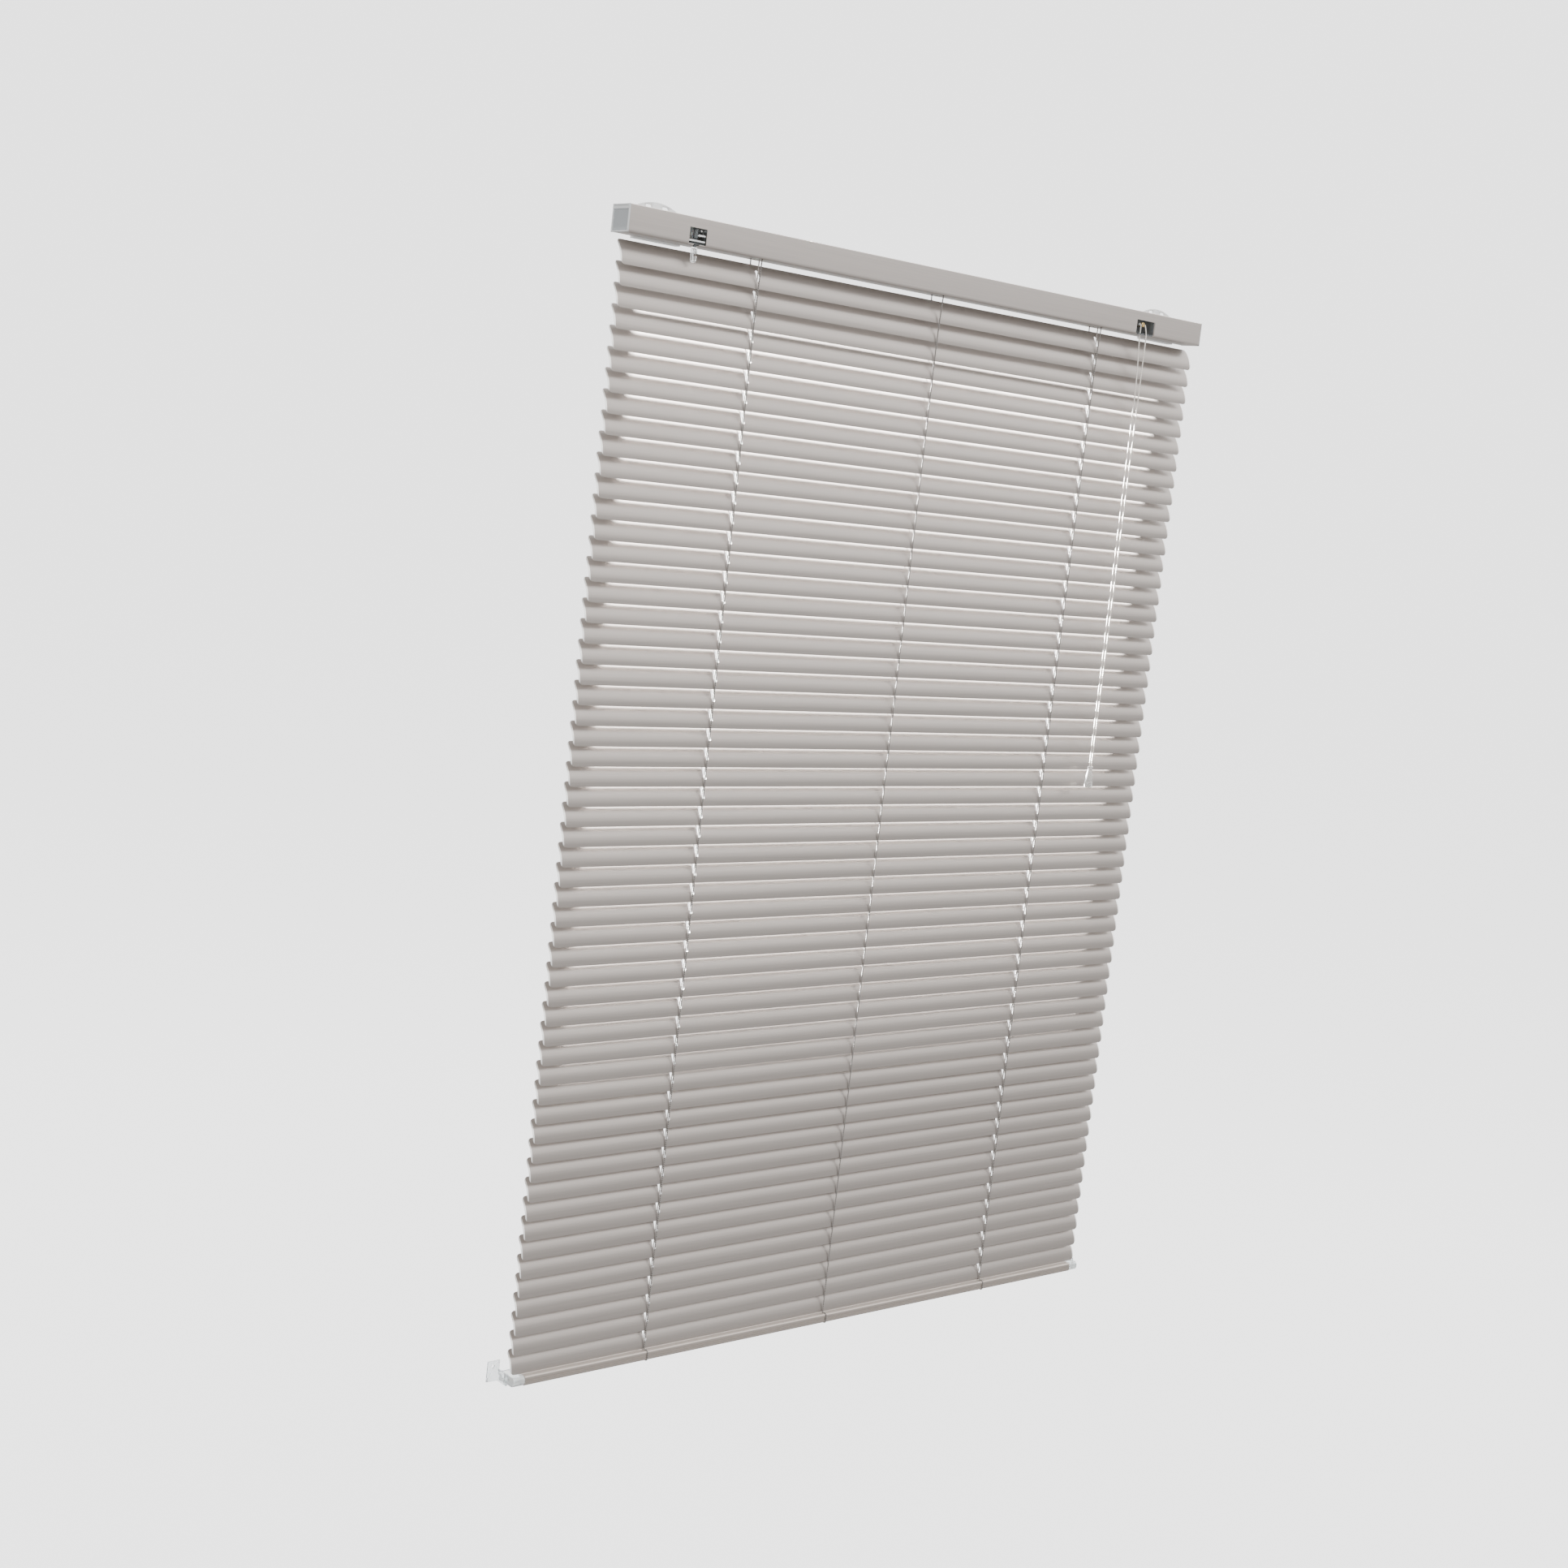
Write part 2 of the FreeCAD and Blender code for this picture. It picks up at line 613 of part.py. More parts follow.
def slat_height(index):
    """The middle of a slat, counted from 0 at the top."""
    return -size("first_drop") - index * size("slat_pitch")


def make_slats():
    """Curved slats with rounded corners and cord slots, each tilted about its own long middle line."""
    width = "slat_width"
    crown_radius = "((slat_width * slat_width / 4 + slat_crown * slat_crown) / (2 * slat_crown))"
    start = ("-slat_length / 2", "0", f"slat_crown - {crown_radius}")
    strip = cut(
        cylinder("x", start, crown_radius, "slat_length"),
        cylinder("x", start, f"{crown_radius} - slat_thick", "slat_length"),
    )
    blank = box(centred("0", "slat_length"), centred("0", width), ("-slat_crown", "3 * slat_crown"))

    def upright(middle, edge):
        return abs(edge.tangentAt(edge.FirstParameter).z) > 0.99

    slots = []
    for side in SIDES:
        place = f"({LADDERS[side]} + cord_aside)"
        flat = "(rout_length - rout_width)"
        low = ("-slat_crown", "3 * slat_crown")
        slots.append(box(centred(place, "rout_width"), centred("0", flat), low))
        for tip in (-1, 1):
            centre = (place, f"{tip} * {flat} / 2", "-slat_crown")
            slots.append(cylinder("z", centre, "rout_width / 2", "3 * slat_crown"))
    slat = cut(common(strip, rounded(blank, size("slat_corner"), upright)), *slots)
    slat.Label = "one_slat"
    doc.recompute()
    turn = FreeCAD.Rotation(DIRECTIONS["x"], size("slat_tilt"))
    bank = int(size("slats_per_bank"))
    count = int(size("slat_count"))
    for first in range(0, count, bank):
        last = min(first + bank, count)
        copies = []
        for index in range(first, last):
            copy = slat.Shape.copy()
            middle = FreeCAD.Vector(0, number(MIDDLE), slat_height(index))
            copy.Placement = FreeCAD.Placement(middle, turn)
            copies.append(copy)
        shaped(f"slats_{first + 1:02d}_to_{last:02d}", Part.makeCompound(copies))


def make_ladders():
    """Each ladder: two strings from its drum to the bottom rail, and a rung under every slat but the
    last, which lies on the bottom rail."""
    tilt = math.radians(size("slat_tilt"))
    reach = size("ladder_reach")
    middle = number(MIDDLE)
    foot = number(FOOT_TOP)
    below = size("slat_thick") + size("fit_gap") + size("rung_radius")
    for side, place in LADDERS.items():
        x = number(place)
        strands = []
        for way in SIDES.values():
            top = FreeCAD.Vector(x, middle + way * reach, 0)
            low = FreeCAD.Vector(x, middle + way * reach, foot)
            strands.append(straight_cord(low, top, size("string_radius")))
        for index in range(int(size("slat_count")) - 1):
            ends = []
            for way in SIDES.values():
                along = (way * reach - below * math.sin(tilt)) / math.cos(tilt)
                rise = along * math.sin(tilt) - below * math.cos(tilt)
                ends.append(FreeCAD.Vector(x, middle + way * reach, slat_height(index) + rise))
            strands.append(straight_cord(ends[0], ends[1], size("rung_radius")))
        shaped(f"ladder_{side}", strands[0].multiFuse(strands[1:]))


def make_bottom_rail():
    """The bottom rail: a closed steel section, clear end caps with pins, and a button under each ladder."""
    low = f"({FOOT_TOP} - foot_height)"
    painted = "(rail_length - 2 * foot_cap)"

    def long_edges(middle, edge):
        return along_x(edge)

    outer = box(centred("0", painted), centred(MIDDLE, "foot_depth"), (low, "foot_height"))
    inner = box(
        centred("0", f"{painted} + {2 * OVERSHOOT}"),
        centred(MIDDLE, "foot_depth - 2 * foot_wall"),
        (f"{low} + foot_wall", "foot_height - 2 * foot_wall"),
    )
    corner = size("foot_corner")
    tube = cut(
        rounded(outer, corner, long_edges),
        rounded(inner, corner - size("foot_wall"), long_edges),
    )
    holes = []
    for place in LADDERS.values():
        holes.append(cylinder("z", (place, MIDDLE, low), "button_stem + fit_gap", "2 * foot_wall"))
    for side in SIDES:
        holes.append(
            cylinder(
                "z",
                (f"{LADDERS[side]} + cord_aside", f"{MIDDLE} - cord_forward", f"{FOOT_TOP} - 2 * foot_wall"),
                "cord_radius + fit_gap",
                "3 * foot_wall",
            )
        )
    subpart("bottom_rail", cut(tube, *holes))
    for side, place in LADDERS.items():
        head = cylinder("z", (place, MIDDLE, f"{low} - button_height"), "button_radius", "button_height")
        stem = cylinder("z", (place, MIDDLE, low), "button_stem", "foot_height / 3")
        subpart(f"ladder_button_{side}", join(head, stem))
    for side, way in SIDES.items():
        make_foot_cap(side, way, low, painted, long_edges)
        make_hold_down(side, way, low)


def make_foot_cap(side, way, low, painted, long_edges):
    """A clear end cap: a block as big as the rail, a plug inside it and a pin outwards."""
    joint = f"({way} * {painted} / 2)"
    block = box(
        (f"{joint} + ({way} - 1) / 2 * foot_cap", "foot_cap"),
        centred(MIDDLE, "foot_depth"),
        (low, "foot_height"),
    )
    inside = "(foot_wall + fit_gap)"
    plug = box(
        (f"{joint} - ({way} + 1) / 2 * cap_plug", "cap_plug"),
        centred(MIDDLE, f"foot_depth - 2 * {inside}"),
        (f"{low} + {inside}", f"foot_height - 2 * {inside}"),
    )
    corner = size("foot_corner")
    pin_start = f"{way} * rail_length / 2 + ({way} - 1) / 2 * foot_pin_length"
    pin = cylinder("x", (pin_start, MIDDLE, FOOT_MIDDLE), "foot_pin_radius", "foot_pin_length")
    subpart(
        f"bottom_rail_end_cap_{side}",
        join(
            rounded(block, corner, long_edges),
            rounded(plug, corner - size("foot_wall"), long_edges),
            pin,
        ),
    )


def make_hold_down(side, way, low):
    """A clear bracket screwed to the window: a back plate and a cheek whose open slot takes the pin."""
    inner = f"({way} * (rail_length / 2 + 4 * fit_gap))"
    foot = f"{low} - hold_below"
    cheek = box(
        (f"{inner} + ({way} - 1) / 2 * hold_wall", "hold_wall"),
        ("-hold_depth", "hold_depth"),
        (foot, "foot_height + hold_below + hold_cheek"),
    )
    back = box(
        (f"{inner} + ({way} - 1) / 2 * hold_width", "hold_width"),
        ("-hold_wall", "hold_wall"),
        (foot, "foot_height + hold_below + hold_above"),
    )
    slot_radius = "(foot_pin_radius + fit_gap)"
    across = f"{inner} - hold_wall"
    slot = box(
        (across, "2 * hold_wall"),
        centred(MIDDLE, f"2 * {slot_radius}"),
        (FOOT_MIDDLE, "foot_height / 2 + hold_above"),
    )
    slot_foot = cylinder("x", (across, MIDDLE, FOOT_MIDDLE), slot_radius, "2 * hold_wall")
    screw = cylinder(
        "y",
        (f"{inner} + {way} * (hold_width + hold_wall) / 2", "-hold_wall", f"{FOOT_TOP} + hold_above / 2"),
        "hold_screw",
        "hold_wall",
    )
    subpart(f"hold_down_bracket_{side}", cut(join(cheek, back), slot, slot_foot, screw))


def check_and_write():
    """Stop at any object that failed, then write one STEP file for each sub-part."""
    doc.recompute()
    for piece in doc.Objects:
        if {"Invalid", "Error"} & set(piece.State):
            raise RuntimeError(f"{piece.Name} ({piece.Label}) did not build: {piece.State}")
    os.makedirs("parts", exist_ok=True)
    for label, piece in subparts.items():
        if piece.Shape.isNull() or not piece.Shape.isValid() or not piece.Shape.Solids:
            raise RuntimeError(f"{label} has no valid shape")
        piece.Shape.exportStep(f"parts/{label}.step")
    print(len(subparts), "sub-parts")


make_headrail()
for side, way in SIDES.items():
    make_end_cap(side, way)
    make_bracket(side, way)
make_tilt_rod()
for side, place in LADDERS.items():
    make_cradle(side, place)
make_tilter()
make_cord_lock()
make_tassel()
make_pull_cords()
make_lift_cords()
make_slats()
make_ladders()
make_bottom_rail()
check_and_write()
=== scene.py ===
import json
import math
import random

import bpy
from mathutils import Matrix, Vector

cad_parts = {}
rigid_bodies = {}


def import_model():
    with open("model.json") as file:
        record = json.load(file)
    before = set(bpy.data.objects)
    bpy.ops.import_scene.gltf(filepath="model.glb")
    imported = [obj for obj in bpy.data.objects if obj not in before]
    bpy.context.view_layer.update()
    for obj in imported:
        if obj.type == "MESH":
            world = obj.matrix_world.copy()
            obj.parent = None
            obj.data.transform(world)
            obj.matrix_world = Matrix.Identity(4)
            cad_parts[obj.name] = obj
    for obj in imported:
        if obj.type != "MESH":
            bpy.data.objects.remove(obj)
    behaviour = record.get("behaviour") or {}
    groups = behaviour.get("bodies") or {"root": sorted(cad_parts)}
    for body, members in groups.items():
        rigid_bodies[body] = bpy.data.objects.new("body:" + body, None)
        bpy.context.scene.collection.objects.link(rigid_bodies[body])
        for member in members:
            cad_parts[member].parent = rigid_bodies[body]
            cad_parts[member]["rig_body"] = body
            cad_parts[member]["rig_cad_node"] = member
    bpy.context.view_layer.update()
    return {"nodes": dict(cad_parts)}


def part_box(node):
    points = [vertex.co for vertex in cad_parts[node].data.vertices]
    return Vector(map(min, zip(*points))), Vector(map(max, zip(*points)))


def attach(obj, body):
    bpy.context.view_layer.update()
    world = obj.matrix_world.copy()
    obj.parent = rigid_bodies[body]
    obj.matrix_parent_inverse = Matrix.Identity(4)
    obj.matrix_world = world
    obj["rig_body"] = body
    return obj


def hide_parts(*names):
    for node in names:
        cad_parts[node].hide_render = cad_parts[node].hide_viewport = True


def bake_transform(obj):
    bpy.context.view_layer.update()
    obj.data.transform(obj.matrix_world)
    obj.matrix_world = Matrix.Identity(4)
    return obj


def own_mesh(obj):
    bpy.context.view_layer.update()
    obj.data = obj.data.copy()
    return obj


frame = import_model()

# --- Camera: a 51 mm lens to the left of the blind, a little below its headrail. ---
# The blind hangs plumb here, so the camera is rolled to show it as it leans on a tilted sash.
CAMERA_PLACE = Vector((-1.6001, -1.6871, -0.2274))
CAMERA_AIM = Vector((-0.1326, -0.0130, -0.5147))
CAMERA_ROLL = math.radians(6.38)
CAMERA_LENS_MM = 51.37
CAMERA_SENSOR_MM = 36.0
camera_data = bpy.data.cameras.new("camera")
camera_data.lens = CAMERA_LENS_MM
camera_data.sensor_width = CAMERA_SENSOR_MM
camera_data.clip_start = 0.05
camera = bpy.data.objects.new("camera", camera_data)
bpy.context.scene.collection.objects.link(camera)
bpy.context.scene.camera = camera
camera.matrix_world = (
    Matrix.Translation(CAMERA_PLACE)
    @ (CAMERA_AIM - CAMERA_PLACE).to_track_quat("-Z", "Y").to_matrix().to_4x4()
    @ Matrix.Rotation(CAMERA_ROLL, 4, "Z")
)

# --- Pull cords: two braided polyester cords that leave the cord lock and hang to one tassel. ---
# The left one drops through the lock's floor and the right one runs over its lip. The tassel's
# weight pulls them straight, and they lengthen out of the lock as the bottom rail rises.
CORD_THICKNESS = 0.0012
CORD_BRAID = 0.0011
PULL_ROUTES = {
    "left": (
        (0.3006, -0.0242, -0.0015),
        (0.3008, -0.0242, -0.0160),
        (0.3009, -0.0253, -0.0304),
        (0.3011, -0.0278, -0.0620),
        (0.30124, -0.0281, -0.1080),
        (0.30245, -0.0306, -0.4915),
    ),
    "right": (
        (0.3075, -0.0242, -0.0015),
        (0.3076, -0.0276, -0.0105),
        (0.30755, -0.02765, -0.0201),
        (0.3073, -0.0279, -0.0620),
        (0.3071, -0.02822, -0.1135),
        (0.30565, -0.0306, -0.4915),
    ),
}


def clear_selection():
    """Back to object mode with nothing selected, ready for the next primitive."""
    if bpy.context.object and bpy.context.object.mode != "OBJECT":
        bpy.ops.object.mode_set(mode="OBJECT")
    for chosen in bpy.context.selected_objects:
        chosen.select_set(False)


def pick(piece):
    """Make one object the only selected and the active one."""
    clear_selection()
    piece.select_set(True)
    bpy.context.view_layer.objects.active = piece


def settle(piece, name, smooth=35.0):
    """Name a finished piece, shade it and put its place into its mesh."""
    pick(piece)
    bpy.ops.object.transform_apply(location=True, rotation=True, scale=True)
    bpy.ops.object.shade_smooth_by_angle(angle=math.radians(smooth))
    piece.name = name
    piece.data.name = name
    return piece


def as_mesh(piece, name):
    """Turn a curve into the mesh of its tube, and settle it."""
    pick(piece)
    bpy.ops.object.convert(target="MESH")
    return settle(bpy.context.object, name, 60)


def soft_line(points, thickness, sides=3):
    """A cord's curve: a NURBS spline through the room between its points, with a round section."""
    data = bpy.data.curves.new("line", "CURVE")
    data.dimensions = "3D"
    spline = data.splines.new("NURBS")
    spline.points.add(len(points) - 1)
    for point, place in zip(spline.points, points):
        point.co = (*place, 1.0)
    spline.order_u = 3
    spline.use_endpoint_u = True
    data.resolution_u = 8
    line = bpy.data.objects.new("line", data)
    bpy.context.scene.collection.objects.link(line)
    centre = bpy.data.meshes.new_from_object(line)
    path = [tuple(vertex.co) for vertex in centre.vertices]
    bpy.data.meshes.remove(centre)
    data.bevel_depth = thickness / 2
    data.bevel_resolution = sides
    data.use_fill_caps = True
    return line, path


def plain(name, colour, roughness, metallic=0.0):
    """A new material whose constant values sit on its shader's own sockets."""
    material = bpy.data.materials.new(name)
    material.use_nodes = True
    shader = material.node_tree.nodes["Principled BSDF"]
    shader.inputs["Base Color"].default_value = (*colour, 1.0)
    shader.inputs["Roughness"].default_value = roughness
    shader.inputs["Metallic"].default_value = metallic
    return material, shader


def pattern(material, kind, stretch, **settings):
    """A texture node of one kind on Object coordinates, stretched along each axis."""
    nodes, links = material.node_tree.nodes, material.node_tree.links
    place = nodes.new("ShaderNodeTexCoord")
    mapping = nodes.new("ShaderNodeMapping")
    mapping.inputs["Scale"].default_value = stretch
    texture = nodes.new(kind)
    for name, value in settings.items():
        if name in texture.inputs:
            texture.inputs[name].default_value = value
        else:
            setattr(texture, name, value)
    links.new(place.outputs["Object"], mapping.inputs["Vector"])
    links.new(mapping.outputs["Vector"], texture.inputs["Vector"])
    return texture


def tint(material, shader, texture, dark, light, low, high):
    """Let a texture run the base colour from dark to light."""
    nodes, links = material.node_tree.nodes, material.node_tree.links
    ramp = nodes.new("ShaderNodeValToRGB")
    ramp.color_ramp.elements[0].position = low
    ramp.color_ramp.elements[1].position = high
    ramp.color_ramp.elements[0].color = (*dark, 1.0)
    ramp.color_ramp.elements[1].color = (*light, 1.0)
    links.new(texture.outputs[0], ramp.inputs["Fac"])
    links.new(ramp.outputs["Color"], shader.inputs["Base Color"])


def relief(material, shader, texture, depth, strength):
    """Let a texture raise the surface by a depth in metres."""
    nodes, links = material.node_tree.nodes, material.node_tree.links
    bump = nodes.new("ShaderNodeBump")
    bump.inputs["Distance"].default_value = depth
    bump.inputs["Strength"].default_value = strength
    links.new(texture.outputs[0], bump.inputs["Height"])
    links.new(bump.outputs["Normal"], shader.inputs["Normal"])


def gloss(material, shader, texture, low, high):
    """Let a texture run the roughness from low to high."""
    nodes, links = material.node_tree.nodes, material.node_tree.links
    span = nodes.new("ShaderNodeMapRange")
    span.inputs["To Min"].default_value = low
    span.inputs["To Max"].default_value = high
    links.new(texture.outputs[0], span.inputs["Value"])
    links.new(span.outputs["Result"], shader.inputs["Roughness"])


def braid(name, dark, light, pitch):
    """Braided polyester: strands that cross at a slant, with a soft sheen."""
    material, shader = plain(name, light, 0.75)
    strands = pattern(
        material,
        "ShaderNodeTexWave",
        (1 / pitch, 1 / pitch, 0.55 / pitch),
        wave_type="BANDS",
        bands_direction="DIAGONAL",
        Scale=0.5,
        Distortion=1.2,
        Detail=1.0,
    )
    tint(material, shader, strands, dark, light, 0.1, 0.9)
    relief(material, shader, strands, 0.0001, 0.6)
    shader.inputs["Sheen Weight"].default_value = 0.3
    return material


pull_braid = braid("pull_cord_braid", (0.60, 0.55, 0.49), (0.86, 0.81, 0.75), CORD_BRAID)
pull_cords = []
for side, route in PULL_ROUTES.items():
    line, path = soft_line(route, CORD_THICKNESS)
    pull_cord = as_mesh(line, f"pull_cord_{side}_braid")
    pull_cord.data.materials.append(pull_braid)
    pull_cords.append((side, pull_cord, path))

# --- Tassel: a turned bell of clear plastic that both pull cords are knotted into. ---
# It has a collar at the top, a waist, a flared skirt and a hollow foot that hides the knot.
TASSEL_COLLAR = 0.0020
TASSEL_WALL = 0.0011
TASSEL_HOLLOW = 0.006
KNOT_RADIUS = 0.0012


def turned(rings, place, sides=32, lying=False):
    """A turned piece: a disc drawn out ring by ring, each (distance along, radius).

    It stands along Z, or lies along Y.
    """
    clear_selection()
    start, first = rings[0]
    bpy.ops.mesh.primitive_circle_add(vertices=sides, radius=first, fill_type="NGON")
    bpy.ops.object.mode_set(mode="EDIT")
    bpy.ops.mesh.select_all(action="SELECT")
    bpy.ops.transform.translate(value=(0, 0, start))
    for (before, old), (after, new) in zip(rings, rings[1:]):
        bpy.ops.mesh.extrude_region_move(TRANSFORM_OT_translate={"value": (0, 0, after - before)})
        bpy.ops.transform.resize(value=(new / old, new / old, 1), center_override=(0, 0, after))
    bpy.ops.mesh.select_all(action="SELECT")
    bpy.ops.mesh.normals_make_consistent(inside=False)
    bpy.ops.object.mode_set(mode="OBJECT")
    piece = bpy.context.object
    turn = Matrix.Rotation(-math.pi / 2, 4, "X") if lying else Matrix.Identity(4)
    piece.data.transform(Matrix.Translation(place) @ turn)
    return piece


def clear_plastic(name, colour, roughness, clearness=0.85):
    """Clear moulded plastic, faintly tinted, with shallow flow marks."""
    material, shader = plain(name, colour, roughness)
    shader.inputs["Transmission Weight"].default_value = clearness
    shader.inputs["IOR"].default_value = 1.49
    flow = pattern(material, "ShaderNodeTexNoise", (260, 260, 120), Scale=1.0, Detail=2.0)
    relief(material, shader, flow, 0.0003, 0.5)
    gloss(material, shader, flow, roughness * 0.6, roughness * 1.6)
    return material


tassel_low, tassel_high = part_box("tassel")
tassel_middle = (tassel_low + tassel_high) / 2
tassel_height = tassel_high.z - tassel_low.z
tassel_radius = (tassel_high.x - tassel_low.x) / 2
tassel_neck = tassel_radius * 0.7
tassel = turned(
    (
        (TASSEL_HOLLOW, KNOT_RADIUS),
        (TASSEL_HOLLOW, tassel_radius - TASSEL_WALL),
        (0.0004, tassel_radius - TASSEL_WALL * 0.8),
        (0.0, tassel_radius - TASSEL_WALL * 0.3),
        (0.0004, tassel_radius),
        (tassel_height * 0.25, tassel_radius * 0.985),
        (tassel_height * 0.55, tassel_radius * 0.86),
        (tassel_height * 0.80, tassel_neck * 0.86),
        (tassel_height - TASSEL_COLLAR, tassel_neck * 0.8),
        (tassel_height - TASSEL_COLLAR * 0.9, tassel_neck * 0.97),
        (tassel_height - TASSEL_COLLAR * 0.3, tassel_neck),
        (tassel_height, tassel_neck * 0.85),
    ),
    (tassel_middle.x, tassel_middle.y, tassel_low.z),
)
settle(tassel, "tassel_bell", 40)
tassel.data.materials.append(clear_plastic("tassel_plastic", (0.86, 0.85, 0.83), 0.12))
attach(tassel, "pull_tassel")
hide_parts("tassel")
for side, pull_cord, path in pull_cords:
    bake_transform(pull_cord)
    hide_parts(f"pull_cord_{side}")

# --- Slats: 25 mm strips of thin aluminium, roll-formed to a crown and coated in satin enamel. ---
# Their corners are rounded, and each outer ladder has a slot in every slat for its lift cord.
# The slats rest on the ladders' rungs, closed with their room-side edge down.
SLATS_IN_BANK = 7
SLAT_WIDTH = 0.025
SLAT_CROWN = 0.0026
SLAT_SHEET = 0.00032
SLAT_CORNER = 0.0052
SLAT_TILT = math.radians(64.0)
SLAT_WOBBLE = math.radians(0.35)
SLAT_SLIDE = 0.0002
SLOT_LENGTH = 0.012
SLOT_WIDTH = 0.0036
SLOT_ASIDE = 0.0016
SLOT_SLACK = 0.0002
SLOT_STEPS = (-3.0, -1.0, -0.7071, 0.0, 0.7071, 1.0, 3.0)
CORNER_STEPS = 6
MIDDLE_STATIONS = (-0.12, 0.0, 0.12)
EDGE_HIGHLIGHT_BAND = 0.0012
ENAMEL_METALLIC = 0.65
ACROSS = (-1.0, -0.82, -0.64, -0.467, -0.3, -0.15, 0.0, 0.15, 0.3, 0.467, 0.64, 0.82, 1.0)
banks = sorted(node for node in frame["nodes"] if node.startswith("slats_"))
bank_low, bank_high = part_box(banks[0])
slat_pitch = (bank_low.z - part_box(banks[1])[0].z) / SLATS_IN_BANK
slat_rise = (bank_high.z - bank_low.z - (SLATS_IN_BANK - 1) * slat_pitch) / 2
slat_end = bank_high.x
ladder_middle = {
    side: (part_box(f"ladder_{side}")[0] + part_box(f"ladder_{side}")[1]) / 2
    for side in ("left", "middle", "right")
}
blind_middle = ladder_middle["middle"].y
crown_angle = 4 * math.atan(2 * SLAT_CROWN / SLAT_WIDTH)
crown_radius = SLAT_WIDTH / 2 / math.sin(crown_angle / 2)
half_width = crown_radius * crown_angle / 2
slot_places = [ladder_middle[side].x + SLOT_ASIDE for side in ("left", "right")]

# Each station along a slat is its distance from the middle and its half width there.
stations = []
for step in range(CORNER_STEPS + 1):
    turn = math.pi / 2 * step / CORNER_STEPS
    x = -slat_end + SLAT_CORNER * (1 - math.cos(turn))
    stations.append((x, half_width - SLAT_CORNER * (1 - math.sin(turn))))
for place in slot_places:
    for share in SLOT_STEPS:
        stations.append((place + share * SLOT_WIDTH / 2, half_width))
    if place < 0:
        stations += [(x, half_width) for x in MIDDLE_STATIONS]
stations += [(-x, half) for x, half in reversed(stations[: CORNER_STEPS + 1])]


def choose_by_hand(kind):
    """Object mode, with nothing chosen in the active mesh, ready to choose its parts one by one."""
    bpy.ops.object.mode_set(mode="EDIT")
    bpy.ops.mesh.select_mode(type=kind)
    bpy.ops.mesh.select_all(action="DESELECT")
    bpy.ops.object.mode_set(mode="OBJECT")


clear_selection()
bpy.ops.mesh.primitive_grid_add(x_subdivisions=1, y_subdivisions=len(ACROSS) - 1, size=2)
slat = bpy.context.object
(first_x, first_half), (second_x, second_half) = stations[:2]
for vertex in slat.data.vertices:
    share = ACROSS[round((vertex.co.y + 1) / 2 * (len(ACROSS) - 1))]
    right = vertex.co.x > 0
    vertex.co = (
        second_x if right else first_x,
        0.0,
        share * (second_half if right else first_half),
    )
choose_by_hand("VERT")
for vertex in slat.data.vertices:
    vertex.select = abs(vertex.co.x - second_x) < 1e-6
bpy.ops.object.mode_set(mode="EDIT")
for (before, old), (after, new) in zip(stations[1:], stations[2:]):
    bpy.ops.mesh.extrude_region_move(TRANSFORM_OT_translate={"value": (after - before, 0, 0)})
    bpy.ops.transform.resize(value=(1, 1, new / old), center_override=(after, 0, 0))
choose_by_hand("FACE")
for face in slat.data.polygons:
    near = min(abs(face.center.x - place) for place in slot_places)
    face.select = near < SLOT_WIDTH / 2 and abs(face.center.z) < SLOT_LENGTH / 2 * 0.99
bpy.ops.object.mode_set(mode="EDIT")
bpy.ops.mesh.delete(type="FACE")
bpy.ops.object.mode_set(mode="OBJECT")
for vertex in slat.data.vertices:
    near = min(abs(vertex.co.x - place) for place in slot_places)
    if near < SLOT_WIDTH / 2 * 1.01 and abs(abs(vertex.co.z) - SLOT_LENGTH / 2) < SLOT_SLACK:
        sunk = SLOT_WIDTH / 2 - math.sqrt(max((SLOT_WIDTH / 2) ** 2 - near**2, 0.0))
        vertex.co.z -= math.copysign(sunk, vertex.co.z)
# The sheet's cut edges and a band at each slat end take a near-white paint. The bare cut edge is
# real; the band's width and brightness are a painted highlight along the ends.
for face in slat.data.polygons:
    face.material_index = 1 if abs(face.center.x) > slat_end - EDGE_HIGHLIGHT_BAND else 0
pick(slat)
bend = slat.modifiers.new("crown", "SIMPLE_DEFORM")
bend.deform_method = "BEND"
bend.deform_axis = "X"
bend.angle = crown_angle
bpy.ops.object.modifier_apply(modifier=bend.name)
sheet = slat.modifiers.new("sheet", "SOLIDIFY")
sheet.thickness = SLAT_SHEET
sheet.offset = 0.0
sheet.material_offset_rim = 1
slat.data.transform(Matrix.Translation((0, -SLAT_CROWN, 0)))


def enamel(name, colour, roughness, streaks, depth):
    """Satin baked enamel over drawn metal: faint streaks run the length of the piece."""
    material, shader = plain(name, colour, roughness, ENAMEL_METALLIC)
    lines = pattern(material, "ShaderNodeTexNoise", streaks, Scale=1.0, Detail=4.0, Roughness=0.6)
    shade = [channel * 0.93 for channel in colour]
    tint(material, shader, lines, shade, colour, 0.35, 0.65)
    relief(material, shader, lines, depth, 0.5)
    gloss(material, shader, lines, roughness * 0.85, roughness * 1.2)
    return material


slat_paint = enamel("slat_enamel", (0.37, 0.335, 0.31), 0.34, (6, 900, 900), 0.00004)
# Near-white paint for the real cut edges and for the painted highlight band at the slat ends.
slat_edge_highlight = enamel("slat_cut_edge_and_highlight", (0.95, 0.93, 0.90), 0.40, (40, 900, 900), 0.00002)
slat.data.materials.append(slat_paint)
slat.data.materials.append(slat_edge_highlight)
pick(slat)
bpy.ops.object.modifier_apply(modifier=sheet.name)
bpy.ops.object.shade_smooth_by_angle(angle=math.radians(35))

blind_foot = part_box("bottom_rail")[1].z
rail_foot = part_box("headrail")[0].z


def gathers(piece):
    """A piece between the rails, which on the blind closes up as the bottom rail rises: here it
    goes on the headrail with a mesh of its own.
    """
    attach(piece, "headrail_frame")
    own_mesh(piece)


